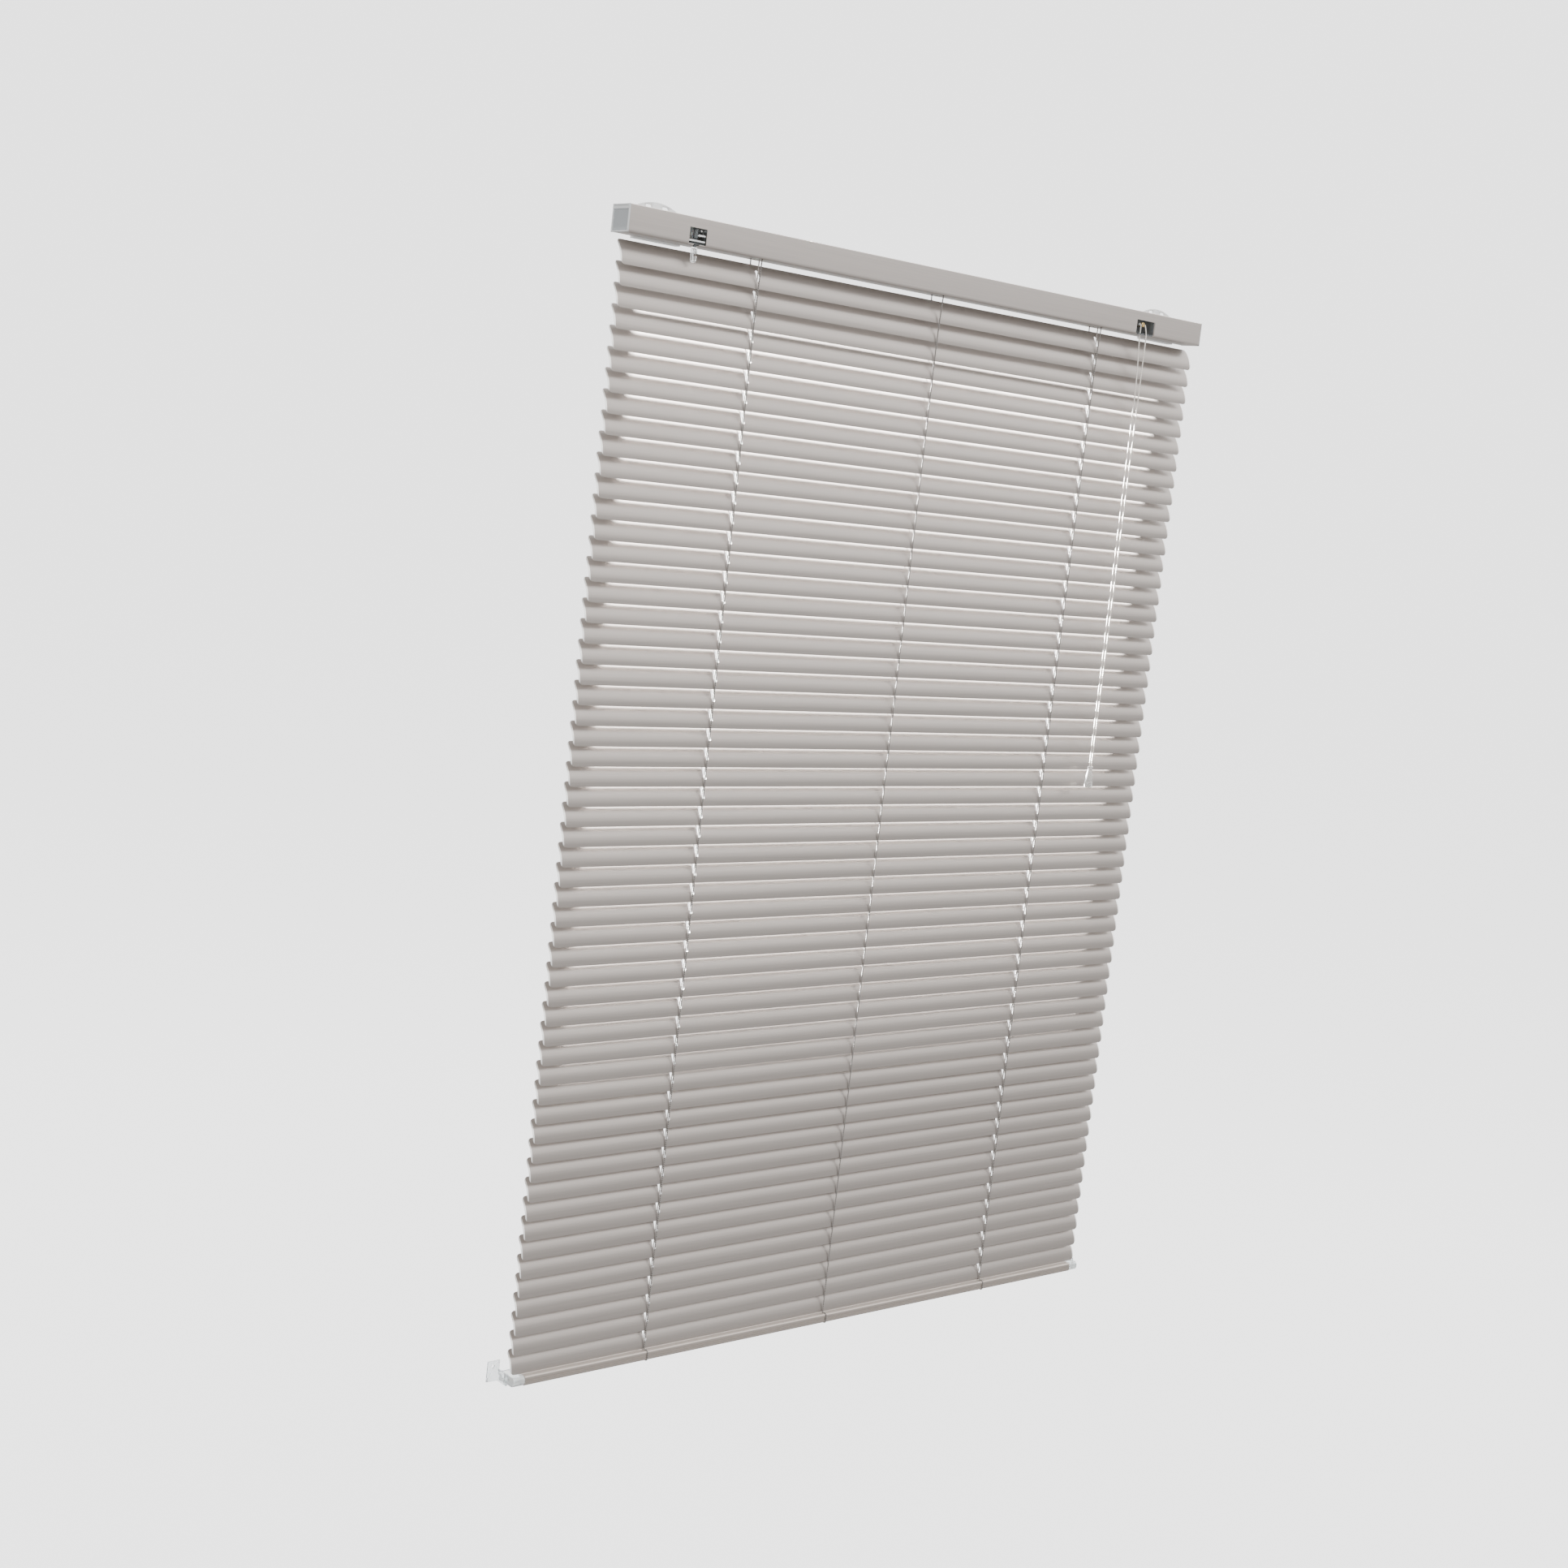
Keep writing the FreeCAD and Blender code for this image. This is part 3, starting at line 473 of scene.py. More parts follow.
wobble = random.Random(7)
slat_heights = []
for node in banks:
    low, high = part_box(node)
    top = high.z - slat_rise
    copies = []
    for index in range(SLATS_IN_BANK):
        height = top - index * slat_pitch
        slat_heights.append(height)
        lean = SLAT_TILT - math.pi / 2 + wobble.uniform(-1, 1) * SLAT_WOBBLE
        copy = slat.copy()
        copy.data = slat.data.copy()
        bpy.context.scene.collection.objects.link(copy)
        slide = wobble.uniform(-SLAT_SLIDE, SLAT_SLIDE)
        copy.data.transform(
            Matrix.Translation((slide, blind_middle, height)) @ Matrix.Rotation(lean, 4, "X")
        )
        copies.append(copy)
    clear_selection()
    for copy in copies:
        copy.select_set(True)
    bpy.context.view_layer.objects.active = copies[0]
    bpy.ops.object.join()
    bank = bpy.context.object
    bank.name = node.replace("slats", "slat_bank")
    bank.data.name = bank.name
    gathers(bank)
    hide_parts(node)
bpy.data.objects.remove(slat)

# --- Ladders: braided polyester strings in front of and behind the slats, joined by rungs. ---
# Each slat but the last lies on a rung of two fine threads. The strings come down from a drum,
# spread a little where they leave the headrail, and end under the bottom rail.
STRING_THICKNESS = 0.0012
STRING_BRAID = 0.0009
RUNG_THICKNESS = 0.00045
RUNG_APART = 0.0009
STRING_REACH = 0.0066
STRING_SPREAD = 0.0086
STRING_WAVE = 0.00025
STRING_GATHER = ((1.0, 0.0), (0.6, 0.013), (0.2, 0.030))
STRING_STRAIGHT = 0.038
# The ladder strings are coloured far darker than the real pale string. This is painted shade
# standing in for the shadow lines along them.
ladder_braid_painted_shade = braid("ladder_braid_painted_shade", (0.05, 0.045, 0.04), (0.30, 0.275, 0.255), STRING_BRAID)


def ladder_string(x, way):
    """One string, which bows out a little over each slat's edge."""
    edge = way * SLAT_WIDTH / 2 * math.sin(SLAT_TILT)
    points = []
    for share, drop in STRING_GATHER:
        reach = STRING_SPREAD * share + STRING_REACH * (1 - share)
        points.append((x, blind_middle + way * reach, rail_foot - drop))
    for height in slat_heights:
        for share, bow in ((0.0, 1.0), (-0.5, -1.0)):
            z = height + edge + share * slat_pitch
            if blind_foot < z < rail_foot - STRING_STRAIGHT:
                points.append((x, blind_middle + way * (STRING_REACH + bow * STRING_WAVE), z))
    points.append((x, blind_middle + way * STRING_REACH, blind_foot))
    return soft_line(points, STRING_THICKNESS, sides=2)[0]


def between(start, end, thickness):
    """A straight thread from one point to another."""
    along = Vector(end) - Vector(start)
    clear_selection()
    bpy.ops.mesh.primitive_cylinder_add(vertices=6, radius=thickness / 2, depth=along.length)
    thread = bpy.context.object
    turn = along.to_track_quat("Z", "Y").to_matrix().to_4x4()
    thread.data.transform(Matrix.Translation((Vector(start) + Vector(end)) / 2) @ turn)
    return thread


def merged(pieces, name, smooth=60.0):
    """Several meshes as one settled piece."""
    clear_selection()
    for piece in pieces:
        piece.select_set(True)
    bpy.context.view_layer.objects.active = pieces[0]
    bpy.ops.object.join()
    return settle(bpy.context.object, name, smooth)


rung_half = STRING_REACH / math.cos(SLAT_TILT) * math.sin(SLAT_TILT)
for side, middle in ladder_middle.items():
    strings = [as_mesh(ladder_string(middle.x, way), "string") for way in (-1, 1)]
    rung_pair = [
        between(
            (middle.x + offset, blind_middle - STRING_REACH, -rung_half - RUNG_APART),
            (middle.x + offset, blind_middle + STRING_REACH, rung_half - RUNG_APART),
            RUNG_THICKNESS,
        )
        for offset in (-RUNG_APART / 2, RUNG_APART / 2)
    ]
    rung = merged(rung_pair, "rung")
    rungs = []
    for height in slat_heights[:-1]:
        copy = rung.copy()
        copy.data = rung.data.copy()
        copy.data.transform(Matrix.Translation((0, 0, height - RUNG_APART)))
        bpy.context.scene.collection.objects.link(copy)
        rungs.append(copy)
    bpy.data.objects.remove(rung)
    ladder = merged(strings + rungs, f"ladder_{side}_strings")
    ladder.data.materials.append(ladder_braid_painted_shade)
    gathers(ladder)
    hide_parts(f"ladder_{side}")
    for way, hand in ((-1, "front"), (1, "back")):
        start = (middle.x, blind_middle + way * STRING_SPREAD, rail_foot)
        drum_side = (middle.x, blind_middle + way * STRING_REACH, 0.0)
        lower = (middle.x, blind_middle + way * (STRING_REACH + STRING_SPREAD) / 2, rail_foot / 2)
        upper_line = soft_line((drum_side, lower, start), STRING_THICKNESS)[0]
        upper = as_mesh(upper_line, f"ladder_{side}_{hand}_top")
        upper.data.materials.append(ladder_braid_painted_shade)
        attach(upper, "headrail_frame")

# --- Lift cords: one braided cord down through the slots of the slats at each outer ladder. ---
# They are knotted inside the bottom rail and run along the headrail to the cord lock.
lift_braid = braid("lift_cord_braid", (0.30, 0.27, 0.245), (0.55, 0.51, 0.47), CORD_BRAID)
for side in ("left", "right"):
    low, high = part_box(f"lift_cord_{side}")
    centre = (low + high) / 2
    clear_selection()
    bpy.ops.mesh.primitive_cylinder_add(
        vertices=10,
        radius=CORD_THICKNESS / 2,
        depth=rail_foot - low.z,
        location=(centre.x, centre.y, (rail_foot + low.z) / 2),
    )
    bpy.ops.object.mode_set(mode="EDIT")
    bpy.ops.mesh.select_all(action="SELECT")
    bpy.ops.mesh.bevel(offset=CORD_THICKNESS / 8, segments=2)
    bpy.ops.object.mode_set(mode="OBJECT")
    lift_cord = settle(bpy.context.object, f"lift_cord_{side}_braid", 60)
    lift_cord.data.materials.append(lift_braid)
    gathers(lift_cord)
    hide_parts(f"lift_cord_{side}")

# --- Headrail: a channel of thin steel, roll-formed with inward lips and coated like the slats. ---
# Its front has an opening for the tilter and one for the cord lock, and its floor a way out
# for each ladder. The long edges at the top are folded, so they catch the light.
FOLD_RADIUS = 0.0007
SHEET_EDGE = 0.00012
SAME_PLACE = 1e-5
DOUBLES_WITHIN = 0.000005


def finer(node, name, edge, smooth=35.0):
    """A copy of a sheet or moulded part, its doubles merged and its sharp edges eased."""
    copy = frame["nodes"][node].copy()
    copy.data = copy.data.copy()
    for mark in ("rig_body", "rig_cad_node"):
        del copy[mark]
    copy.parent = None
    copy.hide_render = copy.hide_viewport = False
    copy.data.materials.clear()
    bpy.context.scene.collection.objects.link(copy)
    pick(copy)
    bpy.ops.object.mode_set(mode="EDIT")
    bpy.ops.mesh.select_all(action="SELECT")
    bpy.ops.mesh.customdata_custom_splitnormals_clear()
    bpy.ops.mesh.remove_doubles(threshold=DOUBLES_WITHIN)
    bpy.ops.mesh.dissolve_limited(angle_limit=math.radians(1.0))
    bpy.ops.object.mode_set(mode="OBJECT")
    if edge:
        ease = copy.modifiers.new("eased_edges", "BEVEL")
        ease.width = edge
        ease.segments = 2
        ease.limit_method = "ANGLE"
        ease.angle_limit = math.radians(40)
        bpy.ops.object.modifier_apply(modifier=ease.name)
    return settle(copy, name, smooth)


headrail = finer("headrail", "headrail_channel", 0.0)
headrail_low, headrail_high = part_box("headrail")
pick(headrail)
choose_by_hand("EDGE")
corners = headrail.data.vertices
outer_sides = (headrail_low.y, headrail_high.y)
for edge in headrail.data.edges:
    ends = [corners[index].co for index in edge.vertices]
    along = abs(ends[0].x - ends[1].x) > 0.0005
    top = all(abs(end.z - headrail_high.z) < SAME_PLACE for end in ends)
    outer = all(min(abs(end.y - y) for y in outer_sides) < SAME_PLACE for end in ends)
    edge.select = along and top and outer
bpy.ops.object.mode_set(mode="EDIT")
bpy.ops.mesh.bevel(offset=FOLD_RADIUS, segments=4)
bpy.ops.object.mode_set(mode="OBJECT")
ease = headrail.modifiers.new("eased_edges", "BEVEL")
ease.width = SHEET_EDGE
ease.segments = 2
ease.limit_method = "ANGLE"
ease.angle_limit = math.radians(50)
bpy.ops.object.modifier_apply(modifier=ease.name)
bpy.ops.object.shade_smooth_by_angle(angle=math.radians(35))
rail_paint = enamel("headrail_enamel", (0.55, 0.50, 0.465), 0.40, (5, 700, 700), 0.00003)
headrail.data.materials.append(rail_paint)
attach(headrail, "headrail_frame")
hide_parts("headrail")

# --- Headrail end caps: clear moulded plates that close the channel and plug into it. ---
# Each has a frosted rim round a thinner clear panel, with a shelf near the top of the panel.
CAP_WALL = 0.0012
CAP_EASE = 0.00022
CAP_RIM = 0.0011
CAP_SLOPE = 0.00025
CAP_RECESS = 0.0006
CAP_SHELF = 0.0036
SHELF_SLOPE = 0.0002
PLUG_EASE = 0.0001
cap_clear = clear_plastic("end_cap_plastic", (0.53, 0.555, 0.57), 0.20, 0.5)
cap_frost = clear_plastic("end_cap_rim", (0.72, 0.73, 0.73), 0.45, 0.35)


def block(middle, sides):
    """A plain block, by its middle and the lengths of its sides."""
    clear_selection()
    bpy.ops.mesh.primitive_cube_add(size=1)
    piece = bpy.context.object
    piece.scale = sides
    piece.location = middle
    bpy.ops.object.transform_apply(location=True, rotation=True, scale=True)
    return piece


for side, way in (("left", -1), ("right", 1)):
    low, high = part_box(f"headrail_end_cap_{side}")
    outer = low.x if way < 0 else high.x
    cap = block(
        (outer - way * CAP_WALL / 2, (low.y + high.y) / 2, (low.z + high.z) / 2),
        (CAP_WALL, high.y - low.y, high.z - low.z),
    )
    cap.data.materials.append(cap_frost)
    cap.data.materials.append(cap_clear)
    bpy.ops.object.mode_set(mode="EDIT")
    bpy.ops.mesh.select_mode(type="EDGE")
    bpy.ops.mesh.select_all(action="SELECT")
    bpy.ops.mesh.bevel(offset=CAP_EASE, segments=3)
    choose_by_hand("FACE")
    panel = max(cap.data.polygons, key=lambda face: face.normal.x * way * face.area)
    panel.select = True
    bpy.ops.object.mode_set(mode="EDIT")
    bpy.ops.mesh.inset(thickness=CAP_RIM)
    bpy.ops.mesh.inset(thickness=CAP_SLOPE, depth=-CAP_RECESS)
    cap.active_material_index = 1
    bpy.ops.object.material_slot_assign()
    bpy.ops.mesh.bisect(
        plane_co=(0, 0, high.z - CAP_RIM - CAP_SHELF), plane_no=(0, 0, 1), use_fill=False
    )
    choose_by_hand("FACE")
    for face in cap.data.polygons:
        upper = face.center.z > high.z - CAP_RIM - CAP_SHELF
        face.select = face.normal.x * way > 0.99 and upper and face.material_index == 1
    bpy.ops.object.mode_set(mode="EDIT")
    bpy.ops.mesh.inset(thickness=SHELF_SLOPE, depth=CAP_RECESS * 0.7)
    cap.active_material_index = 0
    bpy.ops.object.material_slot_assign()
    bpy.ops.object.mode_set(mode="OBJECT")
    plug = finer(f"headrail_end_cap_{side}", "plug", PLUG_EASE)
    pick(plug)
    bpy.ops.object.mode_set(mode="EDIT")
    bpy.ops.mesh.select_all(action="SELECT")
    bpy.ops.mesh.bisect(
        plane_co=(outer - way * CAP_WALL * 1.02, 0, 0),
        plane_no=(way, 0, 0),
        clear_outer=True,
        use_fill=True,
    )
    bpy.ops.object.mode_set(mode="OBJECT")
    plug.data.materials.append(cap_clear)
    cap = merged([cap, plug], f"headrail_cap_{side}", 30)
    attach(cap, "headrail_frame")
    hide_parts(f"headrail_end_cap_{side}")

# --- Brackets: pressed steel in gloss white enamel, screwed to the sash behind the headrail. ---
# A domed top with two slots stands above the rail; a ledge and a hook hold the channel.
BRACKET_EASE = 0.0003
white_paint, white_shader = plain("bracket_enamel", (0.86, 0.86, 0.85), 0.22)
orange_peel = pattern(white_paint, "ShaderNodeTexNoise", (420, 420, 420), Scale=1.0, Detail=2.0)
relief(white_paint, white_shader, orange_peel, 0.00005, 0.4)
gloss(white_paint, white_shader, orange_peel, 0.16, 0.3)
for side in ("left", "right"):
    bracket = finer(f"bracket_{side}", f"bracket_{side}_plate", BRACKET_EASE)
    bracket.data.materials.append(white_paint)
    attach(bracket, "headrail_frame")
    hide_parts(f"bracket_{side}")

# --- Tilter: a clear housing in the headrail's left opening, with a worm that turns the rod. ---
# The worm's shaft ends below the rail in a clear hook for the wand, which isn't fitted. A short
# pale rib stands to the right of the shaft, and a long one crosses the opening's foot.
HOUSING_EASE = 0.00015
HOOK_EASE = 0.00045
RIB_HEIGHT = 0.0016
RIB_DEPTH = 0.0022
RIB_SUNK = 0.0024
RIB_EASE = 0.0004
RIB_PLACES = ((-0.0032, 0.0014, 0.0096), (-0.0085, -0.0096, 0.0096))
# The housings' plastic is tinted dark. This is painted shade standing in for the shaded inside of
# the headrail seen through them.
housing_shaded_clear = clear_plastic("housing_plastic_painted_shade", (0.20, 0.215, 0.22), 0.12, 0.6)
rib_plastic = clear_plastic("rib_plastic", (0.90, 0.91, 0.91), 0.25, 0.25)
tilter_housing = finer("tilter_housing", "tilter_case", HOUSING_EASE)
tilter_housing.data.materials.append(housing_shaded_clear)
hook_low, hook_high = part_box("wand_hook")
hook_middle = (hook_low + hook_high) / 2
ribs = []
for height, left, right in RIB_PLACES:
    rib = block(
        (hook_middle.x + (left + right) / 2, headrail_low.y + RIB_SUNK, height),
        (right - left, RIB_DEPTH, RIB_HEIGHT),
    )
    bpy.ops.object.mode_set(mode="EDIT")
    bpy.ops.mesh.select_all(action="SELECT")
    bpy.ops.mesh.bevel(offset=RIB_EASE, segments=3)
    bpy.ops.object.mode_set(mode="OBJECT")
    rib.data.materials.append(rib_plastic)
    ribs.append(rib)
tilter_case = merged([tilter_housing] + ribs, "tilter_case", 30)
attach(tilter_case, "headrail_frame")
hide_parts("tilter_housing")

hook = finer("wand_hook", "wand_hook_loop", HOOK_EASE, 50)
hook.data.materials.append(clear_plastic("hook_plastic", (0.93, 0.94, 0.94), 0.06, 0.9))
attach(hook, "tilter")
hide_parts("wand_hook")

# --- Cord lock: a clear housing in the right opening, with a brass roller and a sliding pin. ---
# Both cords turn over the roller, and the pin jams them when they are let go to one side.
lock_case = finer("cord_lock_housing", "cord_lock_case", HOUSING_EASE)
lock_case.data.materials.append(housing_shaded_clear)
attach(lock_case, "headrail_frame")
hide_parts("cord_lock_housing")

roller_low, roller_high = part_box("cord_lock_roller")
roller_radius = (roller_high.x - roller_low.x) / 2
roller_length = roller_high.y - roller_low.y
roller = turned(
    (
        (0.0004, roller_radius * 0.3),
        (0.0, roller_radius * 0.42),
        (0.0, roller_radius * 0.85),
        (0.0003, roller_radius),
        (roller_length * 0.15, roller_radius),
        (roller_length * 0.22, roller_radius * 0.86),
        (roller_length * 0.78, roller_radius * 0.86),
        (roller_length * 0.85, roller_radius),
        (roller_length - 0.0003, roller_radius),
        (roller_length, roller_radius * 0.85),
    ),
    ((roller_low.x + roller_high.x) / 2, roller_low.y, (roller_low.z + roller_high.z) / 2),
    lying=True,
)
settle(roller, "cord_lock_brass_roller", 35)
brass, brass_shader = plain("turned_brass", (0.76, 0.56, 0.26), 0.24, 1.0)
turning = pattern(brass, "ShaderNodeTexNoise", (900, 3000, 900), Scale=1.0, Detail=2.0)
tint(brass, brass_shader, turning, (0.60, 0.42, 0.18), (0.82, 0.62, 0.31), 0.35, 0.65)
relief(brass, brass_shader, turning, 0.00003, 0.4)
roller.data.materials.append(brass)
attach(roller, "headrail_frame")
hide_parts("cord_lock_roller")

# --- Tilt rod, drums, gear, worm, cradles and pin: the working parts inside the channel. ---
# A drawn steel rod turns plastic drums that wind the ladders; moulded cradles carry it.
steel, steel_shader = plain("drawn_steel", (0.58, 0.58, 0.57), 0.3, 1.0)
drawn = pattern(steel, "ShaderNodeTexNoise", (8, 1500, 1500), Scale=1.0, Detail=3.0)
tint(steel, steel_shader, drawn, (0.42, 0.42, 0.41), (0.66, 0.66, 0.65), 0.35, 0.65)
relief(steel, steel_shader, drawn, 0.00003, 0.4)
gloss(steel, steel_shader, drawn, 0.22, 0.42)
knurled, knurled_shader = plain("knurled_steel", (0.5, 0.5, 0.49), 0.35, 1.0)
teeth = pattern(
    knurled, "ShaderNodeTexWave", (2200, 2200, 2200), bands_direction="DIAGONAL", Scale=0.5
)
tint(knurled, knurled_shader, teeth, (0.28, 0.28, 0.27), (0.62, 0.62, 0.61), 0.2, 0.8)
relief(knurled, knurled_shader, teeth, 0.0002, 0.8)
nylon, nylon_shader = plain("white_nylon", (0.80, 0.80, 0.77), 0.45)
mould = pattern(nylon, "ShaderNodeTexNoise", (500, 500, 500), Scale=1.0, Detail=3.0)
tint(nylon, nylon_shader, mould, (0.74, 0.74, 0.71), (0.83, 0.83, 0.80), 0.3, 0.7)
relief(nylon, nylon_shader, mould, 0.00004, 0.5)
nylon_shader.inputs["Subsurface Weight"].default_value = 0.1
nylon_shader.inputs["Subsurface Scale"].default_value = 0.002
inside_finish = {
    "tilt_rod": steel,
    "cord_lock_pin": knurled,
    "tilt_gear": nylon,
    "tilter_worm": housing_shaded_clear,
    "headrail_cords": lift_braid,
}
for side in ("left", "middle", "right"):
    inside_finish[f"ladder_drum_{side}"] = nylon
    inside_finish[f"ladder_cradle_{side}"] = nylon
for node, finish in inside_finish.items():
    kept = frame["nodes"][node].data.materials
    kept.clear()
    kept.append(finish)

# --- Bottom rail: a closed section of coated steel that weighs the blind down. ---
# Its front and back are rounded, with two fine grooves along the front.
FOOT_ROUND = 0.0018
GROOVE_WIDTH = 0.0007
GROOVE_DEPTH = 0.0004
GROOVE_SHARES = (0.38, 0.60)
foot_low, foot_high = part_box("bottom_rail")
bottom_rail = block((foot_low + foot_high) / 2, foot_high - foot_low)
choose_by_hand("EDGE")
corners = bottom_rail.data.vertices
for edge in bottom_rail.data.edges:
    edge.select = abs(corners[edge.vertices[0]].co.x - corners[edge.vertices[1]].co.x) > 0.1
bpy.ops.object.mode_set(mode="EDIT")
bpy.ops.mesh.bevel(offset=FOOT_ROUND, segments=7)
groove_heights = [foot_low.z + share * (foot_high.z - foot_low.z) for share in GROOVE_SHARES]
for height in groove_heights:
    for edge_height in (height - GROOVE_WIDTH / 2, height + GROOVE_WIDTH / 2):
        bpy.ops.mesh.select_all(action="SELECT")
        bpy.ops.mesh.bisect(plane_co=(0, 0, edge_height), plane_no=(0, 0, 1))
choose_by_hand("FACE")
for face in bottom_rail.data.polygons:
    near = min(abs(face.center.z - height) for height in groove_heights)
    face.select = face.normal.y < -0.9 and near < GROOVE_WIDTH / 4
bpy.ops.object.mode_set(mode="EDIT")
bpy.ops.mesh.extrude_region_move(TRANSFORM_OT_translate={"value": (0, GROOVE_DEPTH, 0)})
bpy.ops.object.mode_set(mode="OBJECT")
bottom_rail.data.materials.append(
    enamel("bottom_rail_enamel", (0.43, 0.38, 0.34), 0.42, (5, 700, 700), 0.00004)
)
settle(bottom_rail, "bottom_rail_section", 40)
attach(bottom_rail, "bottom_rail_set")
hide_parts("bottom_rail")

# --- Bottom rail end caps and buttons: clear plugs with a pin, and a button under each ladder. ---
# The pins drop into the hold-down brackets, and the buttons clamp the ladder strings' ends.
FOOT_CAP_EASE = 0.0003
BUTTON_HEAD = 0.0016
foot_clear = clear_plastic("foot_cap_plastic", (0.86, 0.89, 0.89), 0.12, 0.6)
for side in ("left", "right"):
    cap = finer(f"bottom_rail_end_cap_{side}", f"bottom_rail_cap_{side}", FOOT_CAP_EASE)
    cap.data.materials.append(foot_clear)
    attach(cap, "bottom_rail_set")
    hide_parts(f"bottom_rail_end_cap_{side}")
button_plastic, button_shader = plain("button_plastic", (0.62, 0.58, 0.54), 0.4)
button_grain = pattern(button_plastic, "ShaderNodeTexNoise", (600, 600, 600), Scale=1.0, Detail=2.0)
tint(button_plastic, button_shader, button_grain, (0.56, 0.52, 0.48), (0.64, 0.60, 0.56), 0.3, 0.7)
relief(button_plastic, button_shader, button_grain, 0.00004, 0.5)
for side in ladder_middle:
    low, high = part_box(f"ladder_button_{side}")
    radius = (high.x - low.x) / 2
    button = turned(
        (
            (0.0, radius * 0.55),
            (0.0, radius * 0.80),
            (0.0003, radius * 0.95),
            (0.0008, radius),
            (BUTTON_HEAD, radius),
            (BUTTON_HEAD, radius * 0.5),
            (high.z - low.z, radius * 0.48),
        ),
        ((low.x + high.x) / 2, (low.y + high.y) / 2, low.z),
        sides=28,
    )
    settle(button, f"ladder_button_{side}_cap", 40)
    button.data.materials.append(button_plastic)
    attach(button, "bottom_rail_set")
    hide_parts(f"ladder_button_{side}")

# --- Ladder ends: each string wraps the bottom rail and is tucked under to its button. ---
# The front string crosses the rail's face and the back one its rear.
STRING_LIFT = STRING_THICKNESS * 0.55
STRING_BEND = 0.0012
STRING_TUCK = 0.0045
for side, middle in ladder_middle.items():
    for way, hand in ((-1, "front"), (1, "back")):
        face_y = foot_low.y if way < 0 else foot_high.y
        inside_y = blind_middle + way * STRING_REACH
        points = (
            (middle.x, inside_y, foot_high.z),
            (middle.x, inside_y + way * STRING_BEND, foot_high.z + STRING_LIFT * 0.7),
            (middle.x, face_y - way * FOOT_ROUND, foot_high.z + STRING_LIFT),
            (middle.x, face_y - way * FOOT_ROUND * 0.1, foot_high.z - FOOT_ROUND * 0.15),
            (middle.x, face_y + way * STRING_LIFT, foot_high.z - FOOT_ROUND),
            (middle.x, face_y + way * STRING_LIFT, foot_low.z + FOOT_ROUND),
            (middle.x, face_y - way * FOOT_ROUND * 0.1, foot_low.z + FOOT_ROUND * 0.15),
            (middle.x, face_y - way * FOOT_ROUND, foot_low.z - STRING_LIFT),
            (middle.x, blind_middle + way * STRING_TUCK, foot_low.z - STRING_LIFT),
        )
        end = as_mesh(soft_line(points, STRING_THICKNESS)[0], f"ladder_{side}_{hand}_end")
        end.data.materials.append(ladder_braid_painted_shade)
        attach(end, "bottom_rail_set")

# --- Hold-down brackets: clear moulded angles screwed to the sash beside the bottom rail. ---
# An open slot in the cheek takes the pin of the end cap, so the blind can't swing.
HOLD_EASE = 0.0003
hold_clear = clear_plastic("hold_down_plastic", (0.88, 0.91, 0.92), 0.10, 0.75)
for side in ("left", "right"):
    hold = finer(f"hold_down_bracket_{side}", f"hold_down_{side}_angle", HOLD_EASE)
    hold.data.materials.append(hold_clear)
    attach(hold, "headrail_frame")
    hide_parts(f"hold_down_bracket_{side}")

# --- Stage: a pale round cove under a sky that is bright above, and daylight from behind. ---
# Three unseen strips close behind stand in for a sash and keep the daylight off the top slats
# and both ends. A fourth, further back, keeps it off the lower slats.
FLOOR_HEIGHT = -1.95
COVE_RINGS = (
    (0.0, 3.4),
    (0.02, 3.8),
    (0.12, 4.15),
    (0.35, 4.45),
    (0.7, 4.62),
    (1.2, 4.7),
    (4.6, 4.7),
)
SKY_BELOW = 0.85
SKY_ABOVE = 3.35
SKY_TURN_LOW = 0.15
SKY_TURN_HIGH = 0.45
COVE_GLOW = 2.15
DAYLIGHT_RISE = math.radians(55)
DAYLIGHT_SOFT = math.radians(5)
DAYLIGHT_POWER = 1400.0
GLOW_SOFT = math.radians(6)
GLOW_POWER = 130.0
FLAG_AWAY = 0.060
FLAG_LEFT = 0.372
FLAG_RIGHT = 0.356
FLAG_LOW = 0.026
FLAG_HIGH = 0.165
FLAG_END = 0.50
FLAG_BOTTOM = -1.05
FLAG_FAR = 0.50
FLAG_FAR_END = 0.60
FLAG_FAR_LOW = -0.70
FLAG_FAR_HIGH = -0.02
cove = turned(COVE_RINGS, (0, 0, FLOOR_HEIGHT), sides=128)
pick(cove)
choose_by_hand("FACE")
lid = max(cove.data.polygons, key=lambda face: face.center.z + face.area)
lid.select = True
bpy.ops.object.mode_set(mode="EDIT")
bpy.ops.mesh.delete(type="FACE")
bpy.ops.mesh.select_all(action="SELECT")
bpy.ops.mesh.flip_normals()
bpy.ops.object.mode_set(mode="OBJECT")
settle(cove, "cove", 80)
cove_paint, cove_shader = plain("cove_paint", (0.30, 0.30, 0.30), 0.9)
cove_shader.inputs["Emission Color"].default_value = (1.0, 1.0, 1.0, 1.0)
cove_shader.inputs["Emission Strength"].default_value = COVE_GLOW
cove.data.materials.append(cove_paint)
cove.visible_diffuse = False
cove.visible_glossy = False

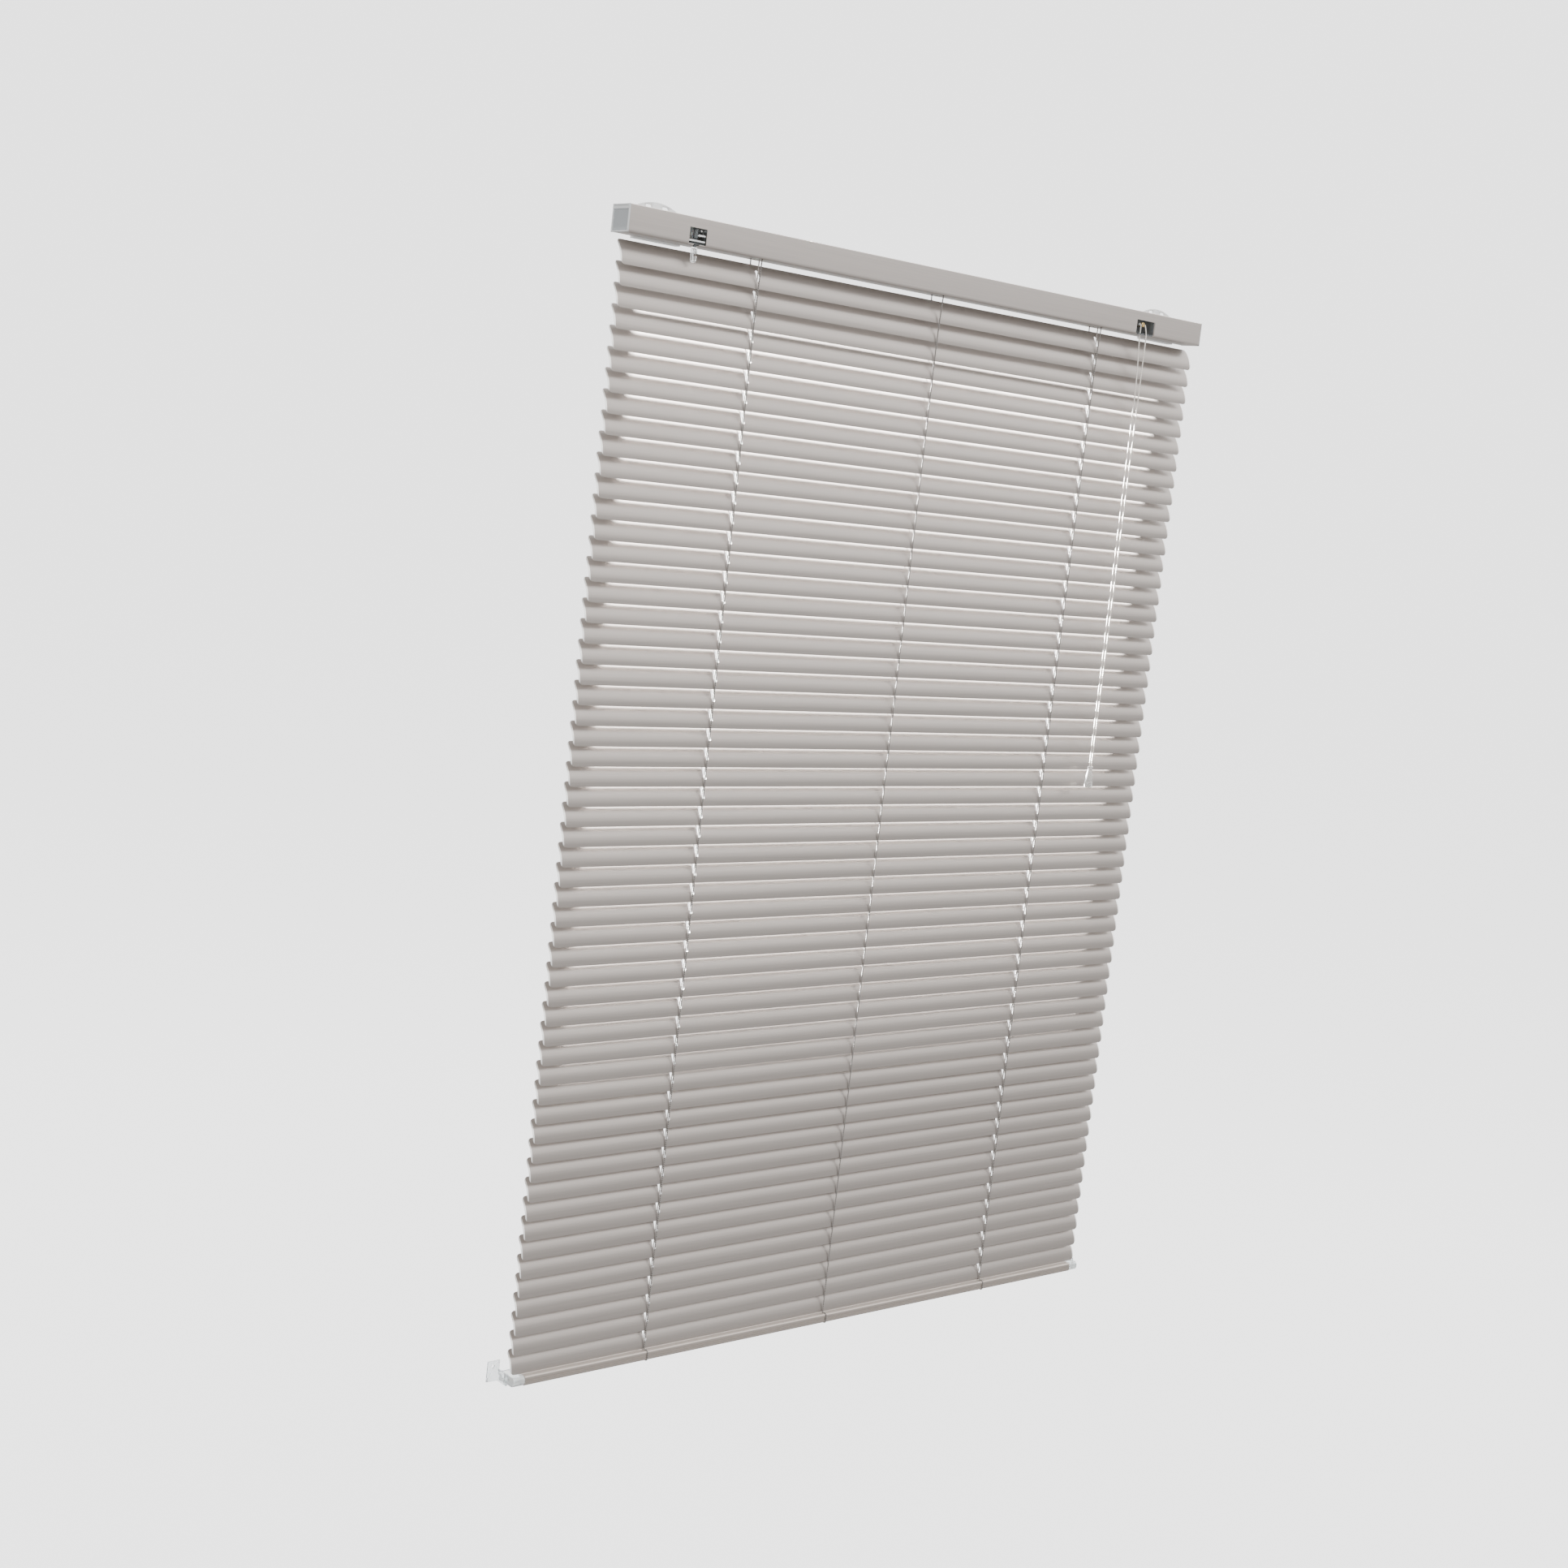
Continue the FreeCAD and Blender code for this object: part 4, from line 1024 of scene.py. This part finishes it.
sky = bpy.data.worlds.new("pale_sky")
sky.use_nodes = True
sky_nodes, sky_links = sky.node_tree.nodes, sky.node_tree.links
direction = sky_nodes.new("ShaderNodeTexCoord")
height = sky_nodes.new("ShaderNodeSeparateXYZ")
strength = sky_nodes.new("ShaderNodeMapRange")
strength.interpolation_type = "SMOOTHSTEP"
strength.inputs["From Min"].default_value = SKY_TURN_LOW
strength.inputs["From Max"].default_value = SKY_TURN_HIGH
strength.inputs["To Min"].default_value = SKY_BELOW
strength.inputs["To Max"].default_value = SKY_ABOVE
sky_links.new(direction.outputs["Generated"], height.inputs["Vector"])
sky_links.new(height.outputs["Z"], strength.inputs["Value"])
sky_links.new(strength.outputs["Result"], sky_nodes["Background"].inputs["Strength"])
sky_nodes["Background"].inputs["Color"].default_value = (1.0, 1.0, 1.0, 1.0)
bpy.context.scene.world = sky


def flag(name, low_x, high_x, low_z, high_z, away=FLAG_AWAY):
    """A strip behind the blind that only shades it from the daylight."""
    clear_selection()
    bpy.ops.mesh.primitive_plane_add(size=1)
    strip = bpy.context.object
    strip.data.transform(
        Matrix.Translation(((low_x + high_x) / 2, away, (low_z + high_z) / 2))
        @ Matrix.Rotation(math.pi / 2, 4, "X")
        @ Matrix.Diagonal((high_x - low_x, high_z - low_z, 1, 1))
    )
    strip.name = name
    strip.visible_camera = strip.visible_diffuse = False
    strip.visible_glossy = strip.visible_transmission = False


flag("flag_top", -FLAG_END, FLAG_END, FLAG_LOW, FLAG_HIGH)
flag("flag_foot", -FLAG_FAR_END, FLAG_FAR_END, FLAG_FAR_LOW, FLAG_FAR_HIGH, FLAG_FAR)
flag("flag_left", -FLAG_END, -FLAG_LEFT, FLAG_BOTTOM, FLAG_HIGH)
flag("flag_right", FLAG_RIGHT, FLAG_END, FLAG_BOTTOM, FLAG_HIGH)

unlit = bpy.data.collections.new("out_of_daylight")
unlit.objects.link(cove)
unlit.collection_objects[0].light_linking.link_state = "EXCLUDE"
for name, power, soft, bounces in (
    ("daylight_edge", DAYLIGHT_POWER, DAYLIGHT_SOFT, 0),
    ("daylight_glow", GLOW_POWER, GLOW_SOFT, 8),
):
    light = bpy.data.lights.new(name, "SUN")
    light.energy = power
    light.angle = soft
    light.cycles.max_bounces = bounces
    daylight = bpy.data.objects.new(name, light)
    daylight.matrix_world = Matrix.Rotation(DAYLIGHT_RISE - math.pi / 2, 4, "X")
    bpy.context.scene.collection.objects.link(daylight)
    daylight.light_linking.receiver_collection = unlit
